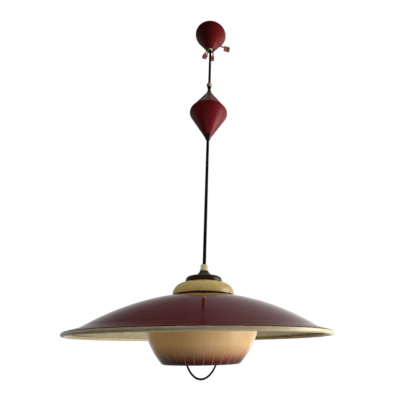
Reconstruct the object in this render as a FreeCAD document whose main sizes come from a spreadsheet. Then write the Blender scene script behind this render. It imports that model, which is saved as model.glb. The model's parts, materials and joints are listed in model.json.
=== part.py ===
import FreeCAD, Part
import math
import os
import Sketcher

# A rise and fall pendant: ceiling cup, cord, spring reel, cord, and a lamp head with an
# enamelled shade, a diffuser bowl and a wire pull. Millimetres, +Z up. The origin is the
# centre of the steel eye that hangs on the ceiling hook, inside the ceiling cup.

document = FreeCAD.newDocument("rise_and_fall_pendant")
sheet = document.addObject("Spreadsheet::Sheet", "Sizes")

driving_sizes = [
    # cord and leads
    ("cord_diameter", 6.5, "round flex with a black rubber sheath"),
    ("lead_diameter", 2.4, "insulated core that leaves the flex in the cup"),
    ("upper_drop", 202.0, "hanger eye to the middle of the bead over the reel"),
    ("lower_drop", 315.4, "nozzle tip to the top of the gland, as photographed"),
    ("running_gap", 0.06, "radial clearance of a shaft in its bore"),
    ("cord_gap", 0.3, "radial clearance round the cord"),
    ("seat_gap", 0.1, "radial clearance of a threaded or nested pair"),
    # hanger and cord clamp
    ("eye_radius", 6.0, "hole for the ceiling hook"),
    ("eye_rim", 4.0, "steel round the hole"),
    ("eye_plate", 2.0, "thickness of the hanger"),
    ("fork_slot", 14.0, "width between the legs of the hanger"),
    ("fork_top", 12.0, "eye centre to the top of the slot"),
    ("clamp_top", 20.0, "eye centre to the top of the cord clamp"),
    ("sheath_end", 23.0, "eye centre to the end of the sheath, inside the clamp"),
    ("clamp_height", 12.0, "height of the cord clamp"),
    ("clamp_width", 28.0, "width of the cord clamp"),
    ("clamp_depth", 7.0, "thickness of each clamp half"),
    ("clamp_screw_spacing", 18.0, "between the two clamp screws"),
    ("clamp_screw_diameter", 3.0, "clamp screw"),
    ("leg_inner_rim", 0.4, "steel between a clamp screw and the slot"),
    ("leg_outer_rim", 0.9, "steel outside of a clamp screw"),
    # ceiling cup
    ("cup_rim_radius", 48.0, "open top of the cup"),
    ("cup_rim_rise", 25.0, "rim above the hanger eye"),
    ("cup_height", 71.0, "rim to the truncated tip"),
    ("cup_tip_radius", 12.0, "truncated tip"),
    ("cup_wall", 1.0, "spun metal"),
    ("grip_radius", 7.2, "ball of the cord grip"),
    ("grip_nest", 4.6, "ball centre above the tip"),
    ("insert_height", 12.0, "black bush in the tip"),
    ("grip_screw_radius", 1.5, "grub screw in the ball"),
    # reel housing
    ("bead_radius", 6.9, "bead over the reel"),
    ("bead_half_height", 5.8, "bead between its flats"),
    ("nipple_top_radius", 5.5, "waisted sleeve, top"),
    ("nipple_waist_radius", 4.1, "waisted sleeve, waist"),
    ("nipple_base_radius", 6.4, "waisted sleeve, base"),
    ("nipple_height", 27.0, "bead to the top of the reel"),
    ("reel_radius", 49.5, "widest ring of the reel"),
    ("reel_top_radius", 6.4, "truncated top of the upper cone"),
    ("upper_cone_height", 78.0, "equator to the truncated top"),
    ("lower_cone_height", 68.9, "equator to the top of the nozzle"),
    ("shell_wall", 1.0, "spun metal of both cones"),
    ("shell_lip", 1.4, "upright rim of the lower cone"),
    ("nozzle_radius", 13.1, "nozzle where it meets the cone"),
    ("nozzle_height", 18.3, "nozzle to its tip"),
    ("nozzle_tip_radius", 4.4, "nozzle tip"),
    ("nozzle_neck_radius", 9.6, "threaded neck inside the cone"),
    ("nozzle_neck_height", 8.0, "threaded neck inside the cone"),
    ("nozzle_flange", 1.2, "inner flange of the lower cone"),
    # reel mechanism
    ("tube_radius", 5.0, "threaded tube, outside"),
    ("tube_bore_radius", 3.6, "threaded tube, inside"),
    ("reel_tube_rise", 6.0, "reel tube inside the sleeve"),
    ("frame_width", 38.0, "between the side plates"),
    ("frame_plate", 1.5, "side plate"),
    ("frame_top", 44.0, "side plate above the equator"),
    ("frame_half_width", 36.0, "side plate, sideways"),
    ("frame_shoulder", 8.0, "side plate, height of the upright edge"),
    ("frame_end_half_width", 12.0, "side plate, top and bottom edge"),
    ("pillar_radius", 3.0, "spacer between the plates"),
    ("yoke_height", 10.0, "block that carries the frame"),
    ("drum_offset", 12.5, "drum axis beside the cord line"),
    ("drum_side_gap", 1.4, "spring barrel to the front plate"),
    ("axle_radius", 3.0, "fixed axle of the drum"),
    ("drum_core_radius", 10.0, "drum under the cord"),
    ("drum_flange_radius", 30.0, "drum flanges"),
    ("drum_width", 20.0, "between the flanges, three turns"),
    ("drum_flange", 1.2, "flange thickness"),
    ("stored_cord", 606.0, "cord in the full layers on the drum"),
    ("spring_width", 5.0, "mainspring strip"),
    ("spring_strip", 0.5, "mainspring strip thickness"),
    ("spring_turns", 7.0, "turns of the mainspring"),
    ("spring_play", 0.3, "mainspring to the flange and to the barrel"),
    ("barrel_radius", 26.5, "spring barrel"),
    ("barrel_wall", 0.8, "spring barrel"),
    ("contact_disc_radius", 20.0, "insulating disc of the slip rings"),
    ("contact_disc_thickness", 1.6, "insulating disc of the slip rings"),
    ("slip_ring_thickness", 0.8, "brass rings"),
    ("slip_ring_width", 3.0, "brass rings"),
    ("inner_ring_radius", 9.0, "inside of the smaller ring"),
    ("outer_ring_radius", 14.5, "inside of the larger ring"),
    # gland, cap, small dome
    ("gland_height", 11.9, "gland on the cap"),
    ("gland_base_radius", 6.7, "gland, base"),
    ("gland_neck_radius", 4.9, "gland, neck"),
    ("gland_lip_radius", 5.4, "gland, lip"),
    ("cap_radius", 35.6, "dark cap"),
    ("cap_height", 23.4, "dark cap with its neck"),
    ("cap_neck_radius", 7.0, "dark cap, neck"),
    ("cap_wall", 2.0, "moulded wall"),
    ("dome_radius", 58.4, "small cream dome, open edge"),
    ("dome_height", 23.5, "small cream dome"),
    ("dome_curve", 35.0, "radius of its side"),
    ("dome_wall", 0.9, "spun metal"),
    ("dome_lift", 23.3, "top of the dome above the crown of the shade"),
    ("spacer_radius", 9.0, "spacer between shade and dome"),
    # shade
    ("shade_radius", 225.0, "outside of the rolled rim"),
    ("shade_curve", 370.0, "radius of the shade's crown"),
    ("shade_brim_width", 21.5, "kink to the outside of the rolled rim"),
    ("shade_brim_angle", 15.5, "slope of the brim in degrees"),
    ("shade_bead_radius", 3.4, "rolled rim"),
    ("shade_wall", 0.9, "enamelled sheet"),
    # gallery, lampholder, bowl, pull
    ("nut_half_width", 7.0, "tube nuts, across flats, half"),
    ("thick_nut", 5.0, "nut between shade and gallery"),
    ("thin_nut", 3.0, "nut under the gallery"),
    ("gallery_radius", 47.0, "gallery that holds the bowl"),
    ("gallery_depth", 11.0, "skirt of the gallery"),
    ("gallery_wall", 1.0, "gallery sheet"),
    ("bowl_neck_radius", 42.0, "neck of the bowl"),
    ("bowl_lip_radius", 44.5, "lip of the neck"),
    ("bowl_lip_height", 3.0, "lip of the neck"),
    ("bowl_neck_height", 14.0, "neck and lip"),
    ("bowl_height", 105.0, "gallery to the open edge"),
    ("bowl_mouth_radius", 67.5, "open edge"),
    ("bowl_widest_rise", 50.0, "open edge to the start of the shoulder"),
    ("bowl_widest_radius", 101.0, "start of the shoulder"),
    ("bowl_side_curve", 96.0, "radius of the side"),
    ("bowl_shoulder_radius", 30.0, "radius of the shoulder"),
    ("bowl_wall", 3.2, "opal glass"),
    ("gallery_screw_radius", 1.8, "thumb screws of the gallery"),
    ("thumb_head_radius", 3.6, "thumb screws of the gallery"),
    ("holder_cap_radius", 17.0, "lampholder, top"),
    ("holder_radius", 20.5, "lampholder, body"),
    ("holder_cap_height", 20.0, "lampholder, top"),
    ("holder_body_height", 32.0, "lampholder, body"),
    ("holder_bore_radius", 14.4, "lampholder, inside"),
    ("thread_shell_radius", 13.4, "inside of the brass lamp thread"),
    ("thread_shell_height", 22.0, "brass lamp thread"),
    ("pull_wire", 2.8, "wire of the pull"),
    ("pull_loop_radius", 26.0, "half round at the bottom of the pull"),
    ("pull_drop", 23.4, "pull below the open edge of the bowl, to the wire's middle"),
    ("pull_top_spread", 34.0, "half the distance of the arms at the gallery"),
    ("pull_nut_radius", 2.9, "nuts of the pull"),
    ("pull_nut_height", 2.0, "nuts of the pull"),
]


class Size:
    """A length in mm that remembers the sheet expression it comes from."""

    def __init__(self, value, text):
        self.value = float(value)
        self.text = text

    def __add__(self, other):
        other = as_size(other)
        return Size(self.value + other.value, f"({self.text} + {other.text})")

    def __sub__(self, other):
        other = as_size(other)
        return Size(self.value - other.value, f"({self.text} - {other.text})")

    def __mul__(self, other):
        other = as_size(other)
        return Size(self.value * other.value, f"{self.text} * {other.text}")

    def __truediv__(self, other):
        other = as_size(other)
        return Size(self.value / other.value, f"{self.text} / ({other.text})")

    def __neg__(self):
        return Size(-self.value, f"(0 - {self.text})")

    def __radd__(self, other):
        return as_size(other) + self

    def __rsub__(self, other):
        return as_size(other) - self

    def __rmul__(self, other):
        return as_size(other) * self


def as_size(number):
    if isinstance(number, Size):
        return number
    return Size(number, f"({float(number)!r})")


def root(size):
    return Size(math.sqrt(size.value), f"sqrt({size.text})")


def cosine(size):
    return Size(math.cos(math.radians(size.value)), f"cos({size.text})")


def sine(size):
    return Size(math.sin(math.radians(size.value)), f"sin({size.text})")


class Sheet:
    """The driving sizes by name."""


d = Sheet()
for row, (alias, value, note) in enumerate(driving_sizes, start=1):
    sheet.set(f"A{row}", alias)
    sheet.set(f"B{row}", str(value))
    sheet.set(f"C{row}", note)
    sheet.setAlias(f"B{row}", alias)
    setattr(d, alias, Size(value, f"Sizes.{alias}"))
document.recompute()


# ---------------------------------------------------------------- drawing helpers

def origin_item(body, role):
    for item in body.Origin.OriginFeatures:
        if item.Role == role:
            return item
    raise LookupError(role)


def new_body(label):
    body = document.addObject("PartDesign::Body", label)
    body.Label = label
    return body


def new_sketch(body, name, role):
    sketch = body.newObject("Sketcher::SketchObject", f"{body.Label}_{name}")
    sketch.AttachmentSupport = [(origin_item(body, role), "")]
    sketch.MapMode = "FlatFace"
    return sketch


class Bend:
    """An arc to (x, y); side is +1 when its centre lies left of the way from the last corner."""

    def __init__(self, x, y, radius, side):
        self.point = (as_size(x), as_size(y))
        self.radius = as_size(radius)
        self.side = side


def corner_of(step):
    if isinstance(step, Bend):
        return step.point
    return (as_size(step[0]), as_size(step[1]))


def arc_between(start, end, radius, side):
    """The arc shorter than a half circle, its start angle and end angle, and if it runs backwards."""
    chord = end - start
    across = FreeCAD.Vector(-chord.y, chord.x, 0)
    across.normalize()
    reach = math.sqrt(max(radius ** 2 - (chord.Length / 2) ** 2, 0.0))
    centre = (start + end) * 0.5 + across * (reach * side)
    circle = Part.Circle(centre, FreeCAD.Vector(0, 0, 1), radius)
    first, last = (start, end) if side > 0 else (end, start)
    angle_first = math.atan2(first.y - centre.y, first.x - centre.x)
    angle_last = math.atan2(last.y - centre.y, last.x - centre.x)
    if angle_last < angle_first:
        angle_last += 2 * math.pi
    return Part.ArcOfCircle(circle, angle_first, angle_last)


def draw_outline(sketch, steps):
    """Closed outline through the corners; every corner and radius is bound to the sheet."""
    corners = [corner_of(step) for step in steps]
    spots = [FreeCAD.Vector(x.value, y.value, 0) for x, y in corners]
    edges = []
    ends = []
    for index, step in enumerate(steps):
        start = spots[index - 1]
        end = spots[index]
        if isinstance(step, Bend):
            edges.append(arc_between(start, end, step.radius.value, step.side))
            ends.append((1, 2) if step.side > 0 else (2, 1))
        else:
            edges.append(Part.LineSegment(start, end))
            ends.append((1, 2))
    first = sketch.GeometryCount
    sketch.addGeometry(edges, False)
    for index in range(len(steps)):
        edge = first + index
        before = first + (index - 1) % len(steps)
        sketch.addConstraint(Sketcher.Constraint(
            "Coincident", before, ends[index - 1][1], edge, ends[index][0]))
    for index, (x, y) in enumerate(corners):
        edge = first + index
        for kind, size in (("DistanceX", x), ("DistanceY", y)):
            if size.text == "(0.0)":
                axis = -2 if kind == "DistanceX" else -1
                sketch.addConstraint(Sketcher.Constraint("PointOnObject", edge, ends[index][1], axis))
            else:
                bind(sketch, Sketcher.Constraint(kind, -1, 1, edge, ends[index][1], size.value), size)
        if isinstance(steps[index], Bend):
            radius = steps[index].radius
            bind(sketch, Sketcher.Constraint("Radius", edge, radius.value), radius)


def draw_circle(sketch, x, y, radius):
    x, y, radius = as_size(x), as_size(y), as_size(radius)
    circle = Part.Circle(FreeCAD.Vector(x.value, y.value, 0), FreeCAD.Vector(0, 0, 1), radius.value)
    index = sketch.addGeometry(circle, False)
    for kind, size in (("DistanceX", x), ("DistanceY", y)):
        bind(sketch, Sketcher.Constraint(kind, -1, 1, index, 3, size.value), size)
    bind(sketch, Sketcher.Constraint("Radius", index, radius.value), radius)


def bind(sketch, constraint, size):
    number = sketch.addConstraint(constraint)
    name = f"size{number}"
    sketch.renameConstraint(number, name)
    sketch.setExpression(f"Constraints.{name}", size.text)


def place(item, x=0, y=0, z=0, axis=(0, 0, 1), angle=0):
    """Put a body at x, y, z, turned about an axis; the place is bound to the sheet."""
    x, y, z = as_size(x), as_size(y), as_size(z)
    item.Placement = FreeCAD.Placement(
        FreeCAD.Vector(x.value, y.value, z.value), FreeCAD.Rotation(FreeCAD.Vector(*axis), angle))
    for letter, size in (("x", x), ("y", y), ("z", z)):
        item.setExpression(f"Placement.Base.{letter}", size.text)
    return item


def turned(label, *outlines):
    """A body turned about its own Z axis from half sections of (radius, height)."""
    body = new_body(label)
    for number, outline in enumerate(outlines, start=1):
        sketch = new_sketch(body, f"section{number}", "XZ_Plane")
        draw_outline(sketch, outline)
        spin = body.newObject("PartDesign::Revolution", f"{label}_turn{number}")
        spin.Profile = sketch
        spin.ReferenceAxis = (sketch, ["V_Axis"])
        spin.Angle = 360
        body.Tip = spin
    return body


def ring(label, inner, outer, low, high):
    return turned(label, [(inner, low), (outer, low), (outer, high), (inner, high)])


def plate(label, role, thickness, outline, holes=(), middle=False):
    """A flat piece padded from a closed outline with round holes (x, y, radius)."""
    body = new_body(label)
    sketch = new_sketch(body, "outline", role)
    draw_outline(sketch, outline)
    for x, y, radius in holes:
        draw_circle(sketch, x, y, radius)
    pad = body.newObject("PartDesign::Pad", f"{label}_pad")
    pad.Profile = sketch
    pad.Midplane = middle
    thickness = as_size(thickness)
    pad.Length = thickness.value
    pad.setExpression("Length", thickness.text)
    body.Tip = pad
    return body


def rectangle(left, right, low, high):
    return [(left, low), (right, low), (right, high), (left, high)]


def hexagon(x, y, half_width):
    """Corners of a hexagon with the given half width across its flats."""
    half_width = as_size(half_width)
    corner = half_width * (2 / math.sqrt(3))
    corners = []
    for step in range(6):
        turn = math.radians(60 * step)
        corners.append((x + corner * math.cos(turn), y + corner * math.sin(turn)))
    return corners


def drill(body, role, holes, name="holes"):
    """Round holes (x, y, radius) right through a body, both ways from an origin plane."""
    sketch = new_sketch(body, name, role)
    for x, y, radius in holes:
        draw_circle(sketch, x, y, radius)
    pocket = body.newObject("PartDesign::Pocket", f"{body.Label}_{name}_cut")
    pocket.Profile = sketch
    pocket.Type = 1
    pocket.Midplane = True
    body.Tip = pocket
    return pocket


def cylinder(name, radius, height):
    item = document.addObject("Part::Cylinder", name)
    for prop, size in (("Radius", as_size(radius)), ("Height", as_size(height))):
        setattr(item, prop, size.value)
        item.setExpression(prop, size.text)
    return item


def box(name, length, width, height):
    item = document.addObject("Part::Box", name)
    for prop, size in (("Length", as_size(length)), ("Width", as_size(width)), ("Height", as_size(height))):
        setattr(item, prop, size.value)
        item.setExpression(prop, size.text)
    return item


def cut(label, base, tools):
    item = document.addObject("Part::Cut", label)
    item.Base = base
    if len(tools) == 1:
        item.Tool = tools[0]
    else:
        fused = document.addObject("Part::MultiFuse", f"{label}_tools")
        fused.Shapes = tools
        item.Tool = fused
    item.Label = label
    return item


def group(label, items):
    """Identical separate pieces that share one node."""
    item = document.addObject("Part::Compound", label)
    item.Links = items
    item.Label = label
    return item


def straight_cord(label, radius, low, high):
    return turned(label, [(0, low), (radius, low), (radius, high), (0, high)])


def bent_path(points):
    """Straight runs joined by tangent arcs as large as the runs allow; prints the radii."""
    spots = [FreeCAD.Vector(*point) for point in points]
    edges = []
    radii = []
    cursor = spots[0]
    for before, corner, after in zip(spots, spots[1:], spots[2:]):
        way_in = corner - before
        way_out = after - corner
        shorter = min(way_in.Length, way_out.Length)
        half_turn = way_in.getAngle(way_out) / 2
        trim = 0.45 * shorter
        radius = trim / math.tan(half_turn)
        radii.append(round(radius, 1))
        way_in.normalize()
        way_out.normalize()
        start = corner - way_in * trim
        end = corner + way_out * trim
        middle = (way_out - way_in).normalize()
        crest = corner + middle * (radius / math.cos(half_turn) - radius)
        edges.append(Part.LineSegment(cursor, start).toShape())
        edges.append(Part.Arc(start, crest, end).toShape())
        cursor = end
    edges.append(Part.LineSegment(cursor, spots[-1]).toShape())
    return Part.Wire(edges), radii


def bent_rod(label, points, diameter):
    """A round rod or cord along a bent path; its volume is checked against its length."""
    path, radii = bent_path(points)
    start = FreeCAD.Vector(*points[0])
    way = FreeCAD.Vector(*points[1]) - start
    profile = Part.Wire(Part.makeCircle(diameter / 2, start, way))
    solid = path.makePipeShell([profile], True, False)
    expected = math.pi * diameter ** 2 / 4 * path.Length
    print(f"{label}: length {path.Length:.1f} mm, arc radii {radii}, "
          f"volume is {solid.Volume / expected:.4f} of section times length")
    item = document.addObject("Part::Feature", label)
    item.Shape = solid
    item.Label = label
    return item


# ---------------------------------------------------------------- heights along the cord line

cord_radius = d.cord_diameter / 2
cup_rim = d.cup_rim_rise
cup_tip = cup_rim - d.cup_height
cup_slope = (d.cup_rim_radius - d.cup_tip_radius) / d.cup_height
grip_centre = cup_tip + d.grip_nest
clamp_low = -d.clamp_top - d.clamp_height
bead_centre = -d.upper_drop
nipple_top = bead_centre - d.bead_half_height
reel_top = nipple_top - d.nipple_height
equator = reel_top - d.upper_cone_height
nozzle_top = equator - d.lower_cone_height
nozzle_tip = nozzle_top - d.nozzle_height
gland_top = nozzle_tip - d.lower_drop
cap_top = gland_top - d.gland_height
dome_top = cap_top - d.cap_height
crown = dome_top - d.dome_lift
gallery_top = crown - d.shade_wall - d.thick_nut
bowl_top = gallery_top - d.gallery_wall
bowl_mouth = bowl_top - d.bowl_height
nodes = []

# ---------------------------------------------------------------- hanger and cord clamp

eye_outer = d.eye_radius + d.eye_rim
fork_half = d.fork_slot / 2
clamp_screw_x = d.clamp_screw_spacing / 2
clamp_screw_hole = d.clamp_screw_diameter / 2 + d.seat_gap
leg_inner = clamp_screw_x - clamp_screw_hole - d.leg_inner_rim
leg_outer = clamp_screw_x + clamp_screw_hole + d.leg_outer_rim
hanger = plate(
    "hanger_eye", "XZ_Plane", d.eye_plate,
    [(fork_half, -d.fork_top), (leg_inner, clamp_low), (leg_outer, clamp_low),
     (leg_outer, -d.fork_top + 2), (eye_outer, -4), (eye_outer, 0),
     Bend(0, eye_outer, eye_outer, 1), Bend(-eye_outer, 0, eye_outer, 1), (-eye_outer, -4),
     (-leg_outer, -d.fork_top + 2), (-leg_outer, clamp_low), (-leg_inner, clamp_low),
     (-fork_half, -d.fork_top)],
    [(0, 0, d.eye_radius)], middle=True)
clamp_screw_height = -d.clamp_top - d.clamp_height / 2
drill(hanger, "XZ_Plane", [(clamp_screw_x, clamp_screw_height, clamp_screw_hole),
                           (-clamp_screw_x, clamp_screw_height, clamp_screw_hole)])
nodes.append(hanger)

for side, name in ((-1, "cord_clamp_front"), (1, "cord_clamp_back")):
    near = d.eye_plate / 2
    far = near + d.clamp_depth
    outline = rectangle(-d.clamp_width / 2, d.clamp_width / 2, near, far)
    if side < 0:
        outline = rectangle(-d.clamp_width / 2, d.clamp_width / 2, -far, -near)
    half = plate(name, "XY_Plane", d.clamp_height, outline)
    drill(half, "XY_Plane", [(0, 0, cord_radius + 0.05)], "groove")
    sketch = new_sketch(half, "screws", "XZ_Plane")
    for x in (clamp_screw_x, -clamp_screw_x):
        draw_circle(sketch, x, d.clamp_height / 2, clamp_screw_hole)
    pocket = half.newObject("PartDesign::Pocket", f"{name}_screw_cut")
    pocket.Profile = sketch
    pocket.Type = 1
    pocket.Midplane = True
    half.Tip = pocket
    place(half, z=clamp_low)
    nodes.append(half)

screws = []
for number, x in enumerate((clamp_screw_x, -clamp_screw_x), start=1):
    head_radius = d.clamp_screw_diameter * 0.95
    shank = d.clamp_screw_diameter / 2
    reach = d.eye_plate + d.clamp_depth * 2
    screw = turned(f"clamp_screw{number}", [
        (0, 0), (shank, 0), (shank, reach), (head_radius, reach), (head_radius, reach + 1.4),
        (head_radius - 0.8, reach + 2.2), (0, reach + 2.2)])
    place(screw, x, d.eye_plate / 2 + d.clamp_depth, clamp_screw_height, (1, 0, 0), 90)
    screws.append(screw)
nodes.append(group("clamp_screws", screws))

# ---------------------------------------------------------------- cord from the clamp to the reel

upper_cord_end = equator + d.frame_top - d.yoke_height
nodes.append(straight_cord("upper_cord", cord_radius, upper_cord_end, -d.sheath_end))

# ---------------------------------------------------------------- leads and wire connectors

# A wire connector is a clear shell with two orange levers in its open end, which points
# along its own Z. The levers stand side by side along its own X.
connector_size = (14.4, 8.0, 20.0)
lever_size = (5.6, 5.6, 10.0)
lever_shift = 3.6


def leaning(centre, own_z, own_x):
    own_z = FreeCAD.Vector(*own_z).normalize()
    own_x = FreeCAD.Vector(*own_x)
    own_y = own_z.cross(own_x)
    turn = FreeCAD.Rotation(own_x, own_y, own_z, "ZXY")
    return FreeCAD.Placement(FreeCAD.Vector(*centre), turn)


connector_places = {
    "connector_left": FreeCAD.Placement(
        FreeCAD.Vector(-17.3, 56.0, -0.5), FreeCAD.Rotation(FreeCAD.Vector(0, 1, 0), 17.0)),
    "connector_middle": FreeCAD.Placement(FreeCAD.Vector(6.2, 56.3, -8.8), FreeCAD.Rotation()),
    "connector_right": leaning((54.9, 41.1, 22.0), (-0.948, 0, 0.318), (0, 1, 0)),
}

# Each lead leaves the sheath in the clamp, passes through the fork of the hanger, climbs over
# the rim of the cup and ends at a lever of its connector.
lead_routes = {
    "lead_blue": ("connector_left", -1, [
        (-1.3, -1.5, -22.9), (-1.6, -1.2, -18.0), (-5.0, 4.6, -8.5), (-6.6, 16.5, 3.4),
        (-9.0, 30.5, 16.2), (-10.2, 38.0, 22.9), (-11.0, 43.5, 27.2), (-12.3, 48.5, 28.1),
        (-13.4, 53.2, 26.0), (-14.2, 56.0, 21.8)]),
    "lead_grey_left": ("connector_left", 1, [
        (-1.3, 1.4, -22.93), (-1.4, 1.7, -18.0), (-1.6, 6.6, -9.0), (-2.9, 17.0, 2.6),
        (-3.9, 30.5, 15.8), (-4.7, 38.0, 22.5), (-5.2, 43.6, 27.2), (-5.8, 48.6, 28.1),
        (-6.3, 53.2, 26.0), (-6.7, 56.0, 21.8)]),
    "lead_grey_middle": ("connector_middle", 1, [
        (1.3, 1.4, -22.93), (1.4, 1.7, -18.0), (1.5, 6.6, -9.0), (3.6, 17.0, 2.6),
        (5.6, 30.5, 15.8), (6.9, 38.0, 22.5), (7.7, 43.6, 27.2), (8.3, 48.6, 28.1),
        (8.6, 53.4, 26.0), (8.8, 56.2, 21.8), (9.8, 56.3, 9.2)]),
    "lead_green": ("connector_right", -1, [
        (1.3, -1.5, -22.93), (1.5, -1.2, -18.0), (4.9, 4.5, -8.6), (11.6, 13.0, 2.2),
        (20.2, 22.6, 14.2), (26.2, 29.3, 21.9), (30.6, 34.1, 26.3), (34.6, 36.3, 28.0),
        (39.2, 37.5, 27.6)]),
}
for name, (connector, side, route) in lead_routes.items():
    entry = connector_places[connector].multVec(
        FreeCAD.Vector(side * lever_shift, 0, connector_size[2] / 2 + 0.08))
    print(name, "ends at", tuple(round(value, 2) for value in entry))
    nodes.append(bent_rod(name, route + [tuple(entry)], d.lead_diameter.value))


def centred_box(size, centre):
    corner = FreeCAD.Vector(*centre) - FreeCAD.Vector(*size) * 0.5
    return Part.makeBox(*size, corner)


levers = []
for name, spot in connector_places.items():
    shell = centred_box(connector_size, (0, 0, 0))
    shell = shell.makeFillet(1.0, [edge for edge in shell.Edges if abs(edge.tangentAt(0).z) > 0.9])
    for side in (-1, 1):
        seat = (side * lever_shift, 0, connector_size[2] / 2 - lever_size[2] / 2)
        pocket = centred_box((lever_size[0] + 0.2, lever_size[1] + 0.2, lever_size[2]), seat)
        shell = shell.cut(pocket)
        lever = centred_box(lever_size, seat)
        lever.Placement = spot
        levers.append(lever)
    if name == "connector_right":
        raised = centred_box((lever_size[0], 10.0, 2.0), (lever_shift, -connector_size[1] / 2 - 5.0, -6.0))
        raised.Placement = spot
        levers.append(raised)
    item = document.addObject("Part::Feature", name)
    item.Shape = shell
    item.Placement = spot
    item.Label = name
    nodes.append(item)
lever_item = document.addObject("Part::Feature", "connector_levers")
lever_item.Shape = Part.makeCompound(levers)
lever_item.Label = "connector_levers"
nodes.append(lever_item)

# ---------------------------------------------------------------- ceiling cup and its ball grip

cup_wall_across = d.cup_wall * root(1 + cup_slope * cup_slope)
cup_lip = 1.2
nodes.append(turned("ceiling_cup", [
    (d.cup_tip_radius - cup_wall_across, cup_tip), (d.cup_tip_radius, cup_tip),
    (d.cup_rim_radius, cup_rim - cup_lip), (d.cup_rim_radius, cup_rim),
    (d.cup_rim_radius - cup_wall_across, cup_rim),
    (d.cup_rim_radius - cup_wall_across, cup_rim - cup_lip)]))

insert_base = d.cup_tip_radius - cup_wall_across - d.seat_gap
insert_top = cup_tip + d.insert_height
cup_side_slope = (d.cup_rim_radius - d.cup_tip_radius) / (d.cup_height - cup_lip)
seat_radius = d.grip_radius + d.seat_gap
cord_bore = cord_radius + d.seat_gap
seat_rise = root(seat_radius * seat_radius - cord_bore * cord_bore)
nodes.append(turned("cup_insert", [
    (seat_radius, cup_tip), (insert_base, cup_tip),
    (insert_base + cup_side_slope * d.insert_height, insert_top), (cord_bore, insert_top),
    (cord_bore, grip_centre + seat_rise), Bend(seat_radius, grip_centre, seat_radius, -1)]))

grip_ball = document.addObject("Part::Sphere", "cup_grip_ball")
grip_ball.setExpression("Radius", d.grip_radius.text)
grip_bore = cylinder("cup_grip_bore", cord_bore, d.grip_radius * 3)
place(grip_bore, z=-d.grip_radius * 1.5)
grip_tap = cylinder("cup_grip_tap", d.grip_screw_radius, d.grip_radius * 2)
grip_screw_drop = -1.6
grip_screw_way = (-0.755, -0.656, 0)
tap_turn = FreeCAD.Rotation(FreeCAD.Vector(0, 0, 1), FreeCAD.Vector(*grip_screw_way))
grip_tap.Placement = FreeCAD.Placement(FreeCAD.Vector(0, 0, grip_screw_drop), tap_turn)
grip = cut("cup_grip", grip_ball, [grip_bore, grip_tap])
place(grip, z=grip_centre)
nodes.append(grip)

grub = cylinder("grip_screw", d.grip_screw_radius - 0.03, 3.0)
grub_start = cord_bore.value + 0.1
grub_spot = FreeCAD.Vector(*grip_screw_way) * grub_start
grub_spot.z = grip_centre.value + grip_screw_drop
grub.Placement = FreeCAD.Placement(grub_spot, tap_turn)
grub.setExpression("Placement.Base.z", (grip_centre + grip_screw_drop).text)
grub.Label = "grip_screw"
nodes.append(grub)

# ---------------------------------------------------------------- bead, sleeve and reel housing

bead_flat = root(d.bead_radius * d.bead_radius - d.bead_half_height * d.bead_half_height)
bead_bore = cord_radius + d.seat_gap
nodes.append(turned("reel_bead", [
    (bead_bore, bead_centre - d.bead_half_height), (bead_flat, bead_centre - d.bead_half_height),
    Bend(bead_flat, bead_centre + d.bead_half_height, d.bead_radius, 1),
    (bead_bore, bead_centre + d.bead_half_height)]))

nipple_step = reel_top + d.reel_tube_rise
sleeve_bore = d.tube_radius + d.seat_gap
waist = nipple_top - d.nipple_height * 0.42
nodes.append(turned("reel_nipple", [
    (cord_bore, nipple_top), (cord_bore, nipple_step), (sleeve_bore, nipple_step),
    (sleeve_bore, reel_top), (d.nipple_base_radius, reel_top),
    (d.nipple_base_radius, reel_top + 3.0), Bend(d.nipple_waist_radius, waist, 34.0, -1),
    Bend(d.nipple_top_radius, nipple_top - 3.0, 26.0, -1), (d.nipple_top_radius, nipple_top)]))

shell_hole = d.tube_radius + d.seat_gap
upper_slope = (d.reel_radius - d.reel_top_radius) / d.upper_cone_height
upper_wall_across = d.shell_wall * root(1 + upper_slope * upper_slope)
shell_edge = d.reel_radius - d.shell_wall - d.seat_gap
lower_slope = (d.reel_radius - d.nozzle_radius) / d.lower_cone_height
lower_wall_across = d.shell_wall * root(1 + lower_slope * lower_slope)
upper_edge_rise = (d.reel_radius - shell_edge) / upper_slope
nodes.append(turned("reel_upper_shell", [
    (shell_hole, reel_top), (d.reel_top_radius, reel_top), (shell_edge, equator + upper_edge_rise),
    (shell_edge, equator + 0.1), (shell_edge - upper_wall_across, equator + 0.1),
    (shell_edge - upper_wall_across, equator + upper_edge_rise),
    (d.reel_top_radius, reel_top - d.shell_wall - 0.9), (shell_hole, reel_top - d.shell_wall - 0.9)]))

nodes.append(turned("reel_lower_shell", [
    (d.reel_radius, equator + d.shell_lip), (d.reel_radius, equator),
    (d.nozzle_radius, nozzle_top), (d.nozzle_neck_radius + d.seat_gap, nozzle_top),
    (d.nozzle_neck_radius + d.seat_gap, nozzle_top + d.nozzle_flange),
    (d.nozzle_radius - lower_wall_across + lower_slope * d.nozzle_flange, nozzle_top + d.nozzle_flange),
    (d.reel_radius - lower_wall_across - 0.8, equator - 1.5),
    (d.reel_radius - lower_wall_across - 0.8, equator), (d.reel_radius - d.shell_wall, equator),
    (d.reel_radius - d.shell_wall, equator + d.shell_lip)]))

nozzle_bore = cord_radius + d.cord_gap
nodes.append(turned("reel_nozzle", [
    (nozzle_bore, nozzle_tip), (d.nozzle_tip_radius, nozzle_tip), (d.nozzle_radius, nozzle_top),
    (d.nozzle_neck_radius, nozzle_top), (d.nozzle_neck_radius, nozzle_top + d.nozzle_neck_height),
    (d.nozzle_neck_radius - 3.2, nozzle_top + d.nozzle_neck_height),
    Bend(nozzle_bore, nozzle_top - 4.0, 26.0, -1)]))

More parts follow.
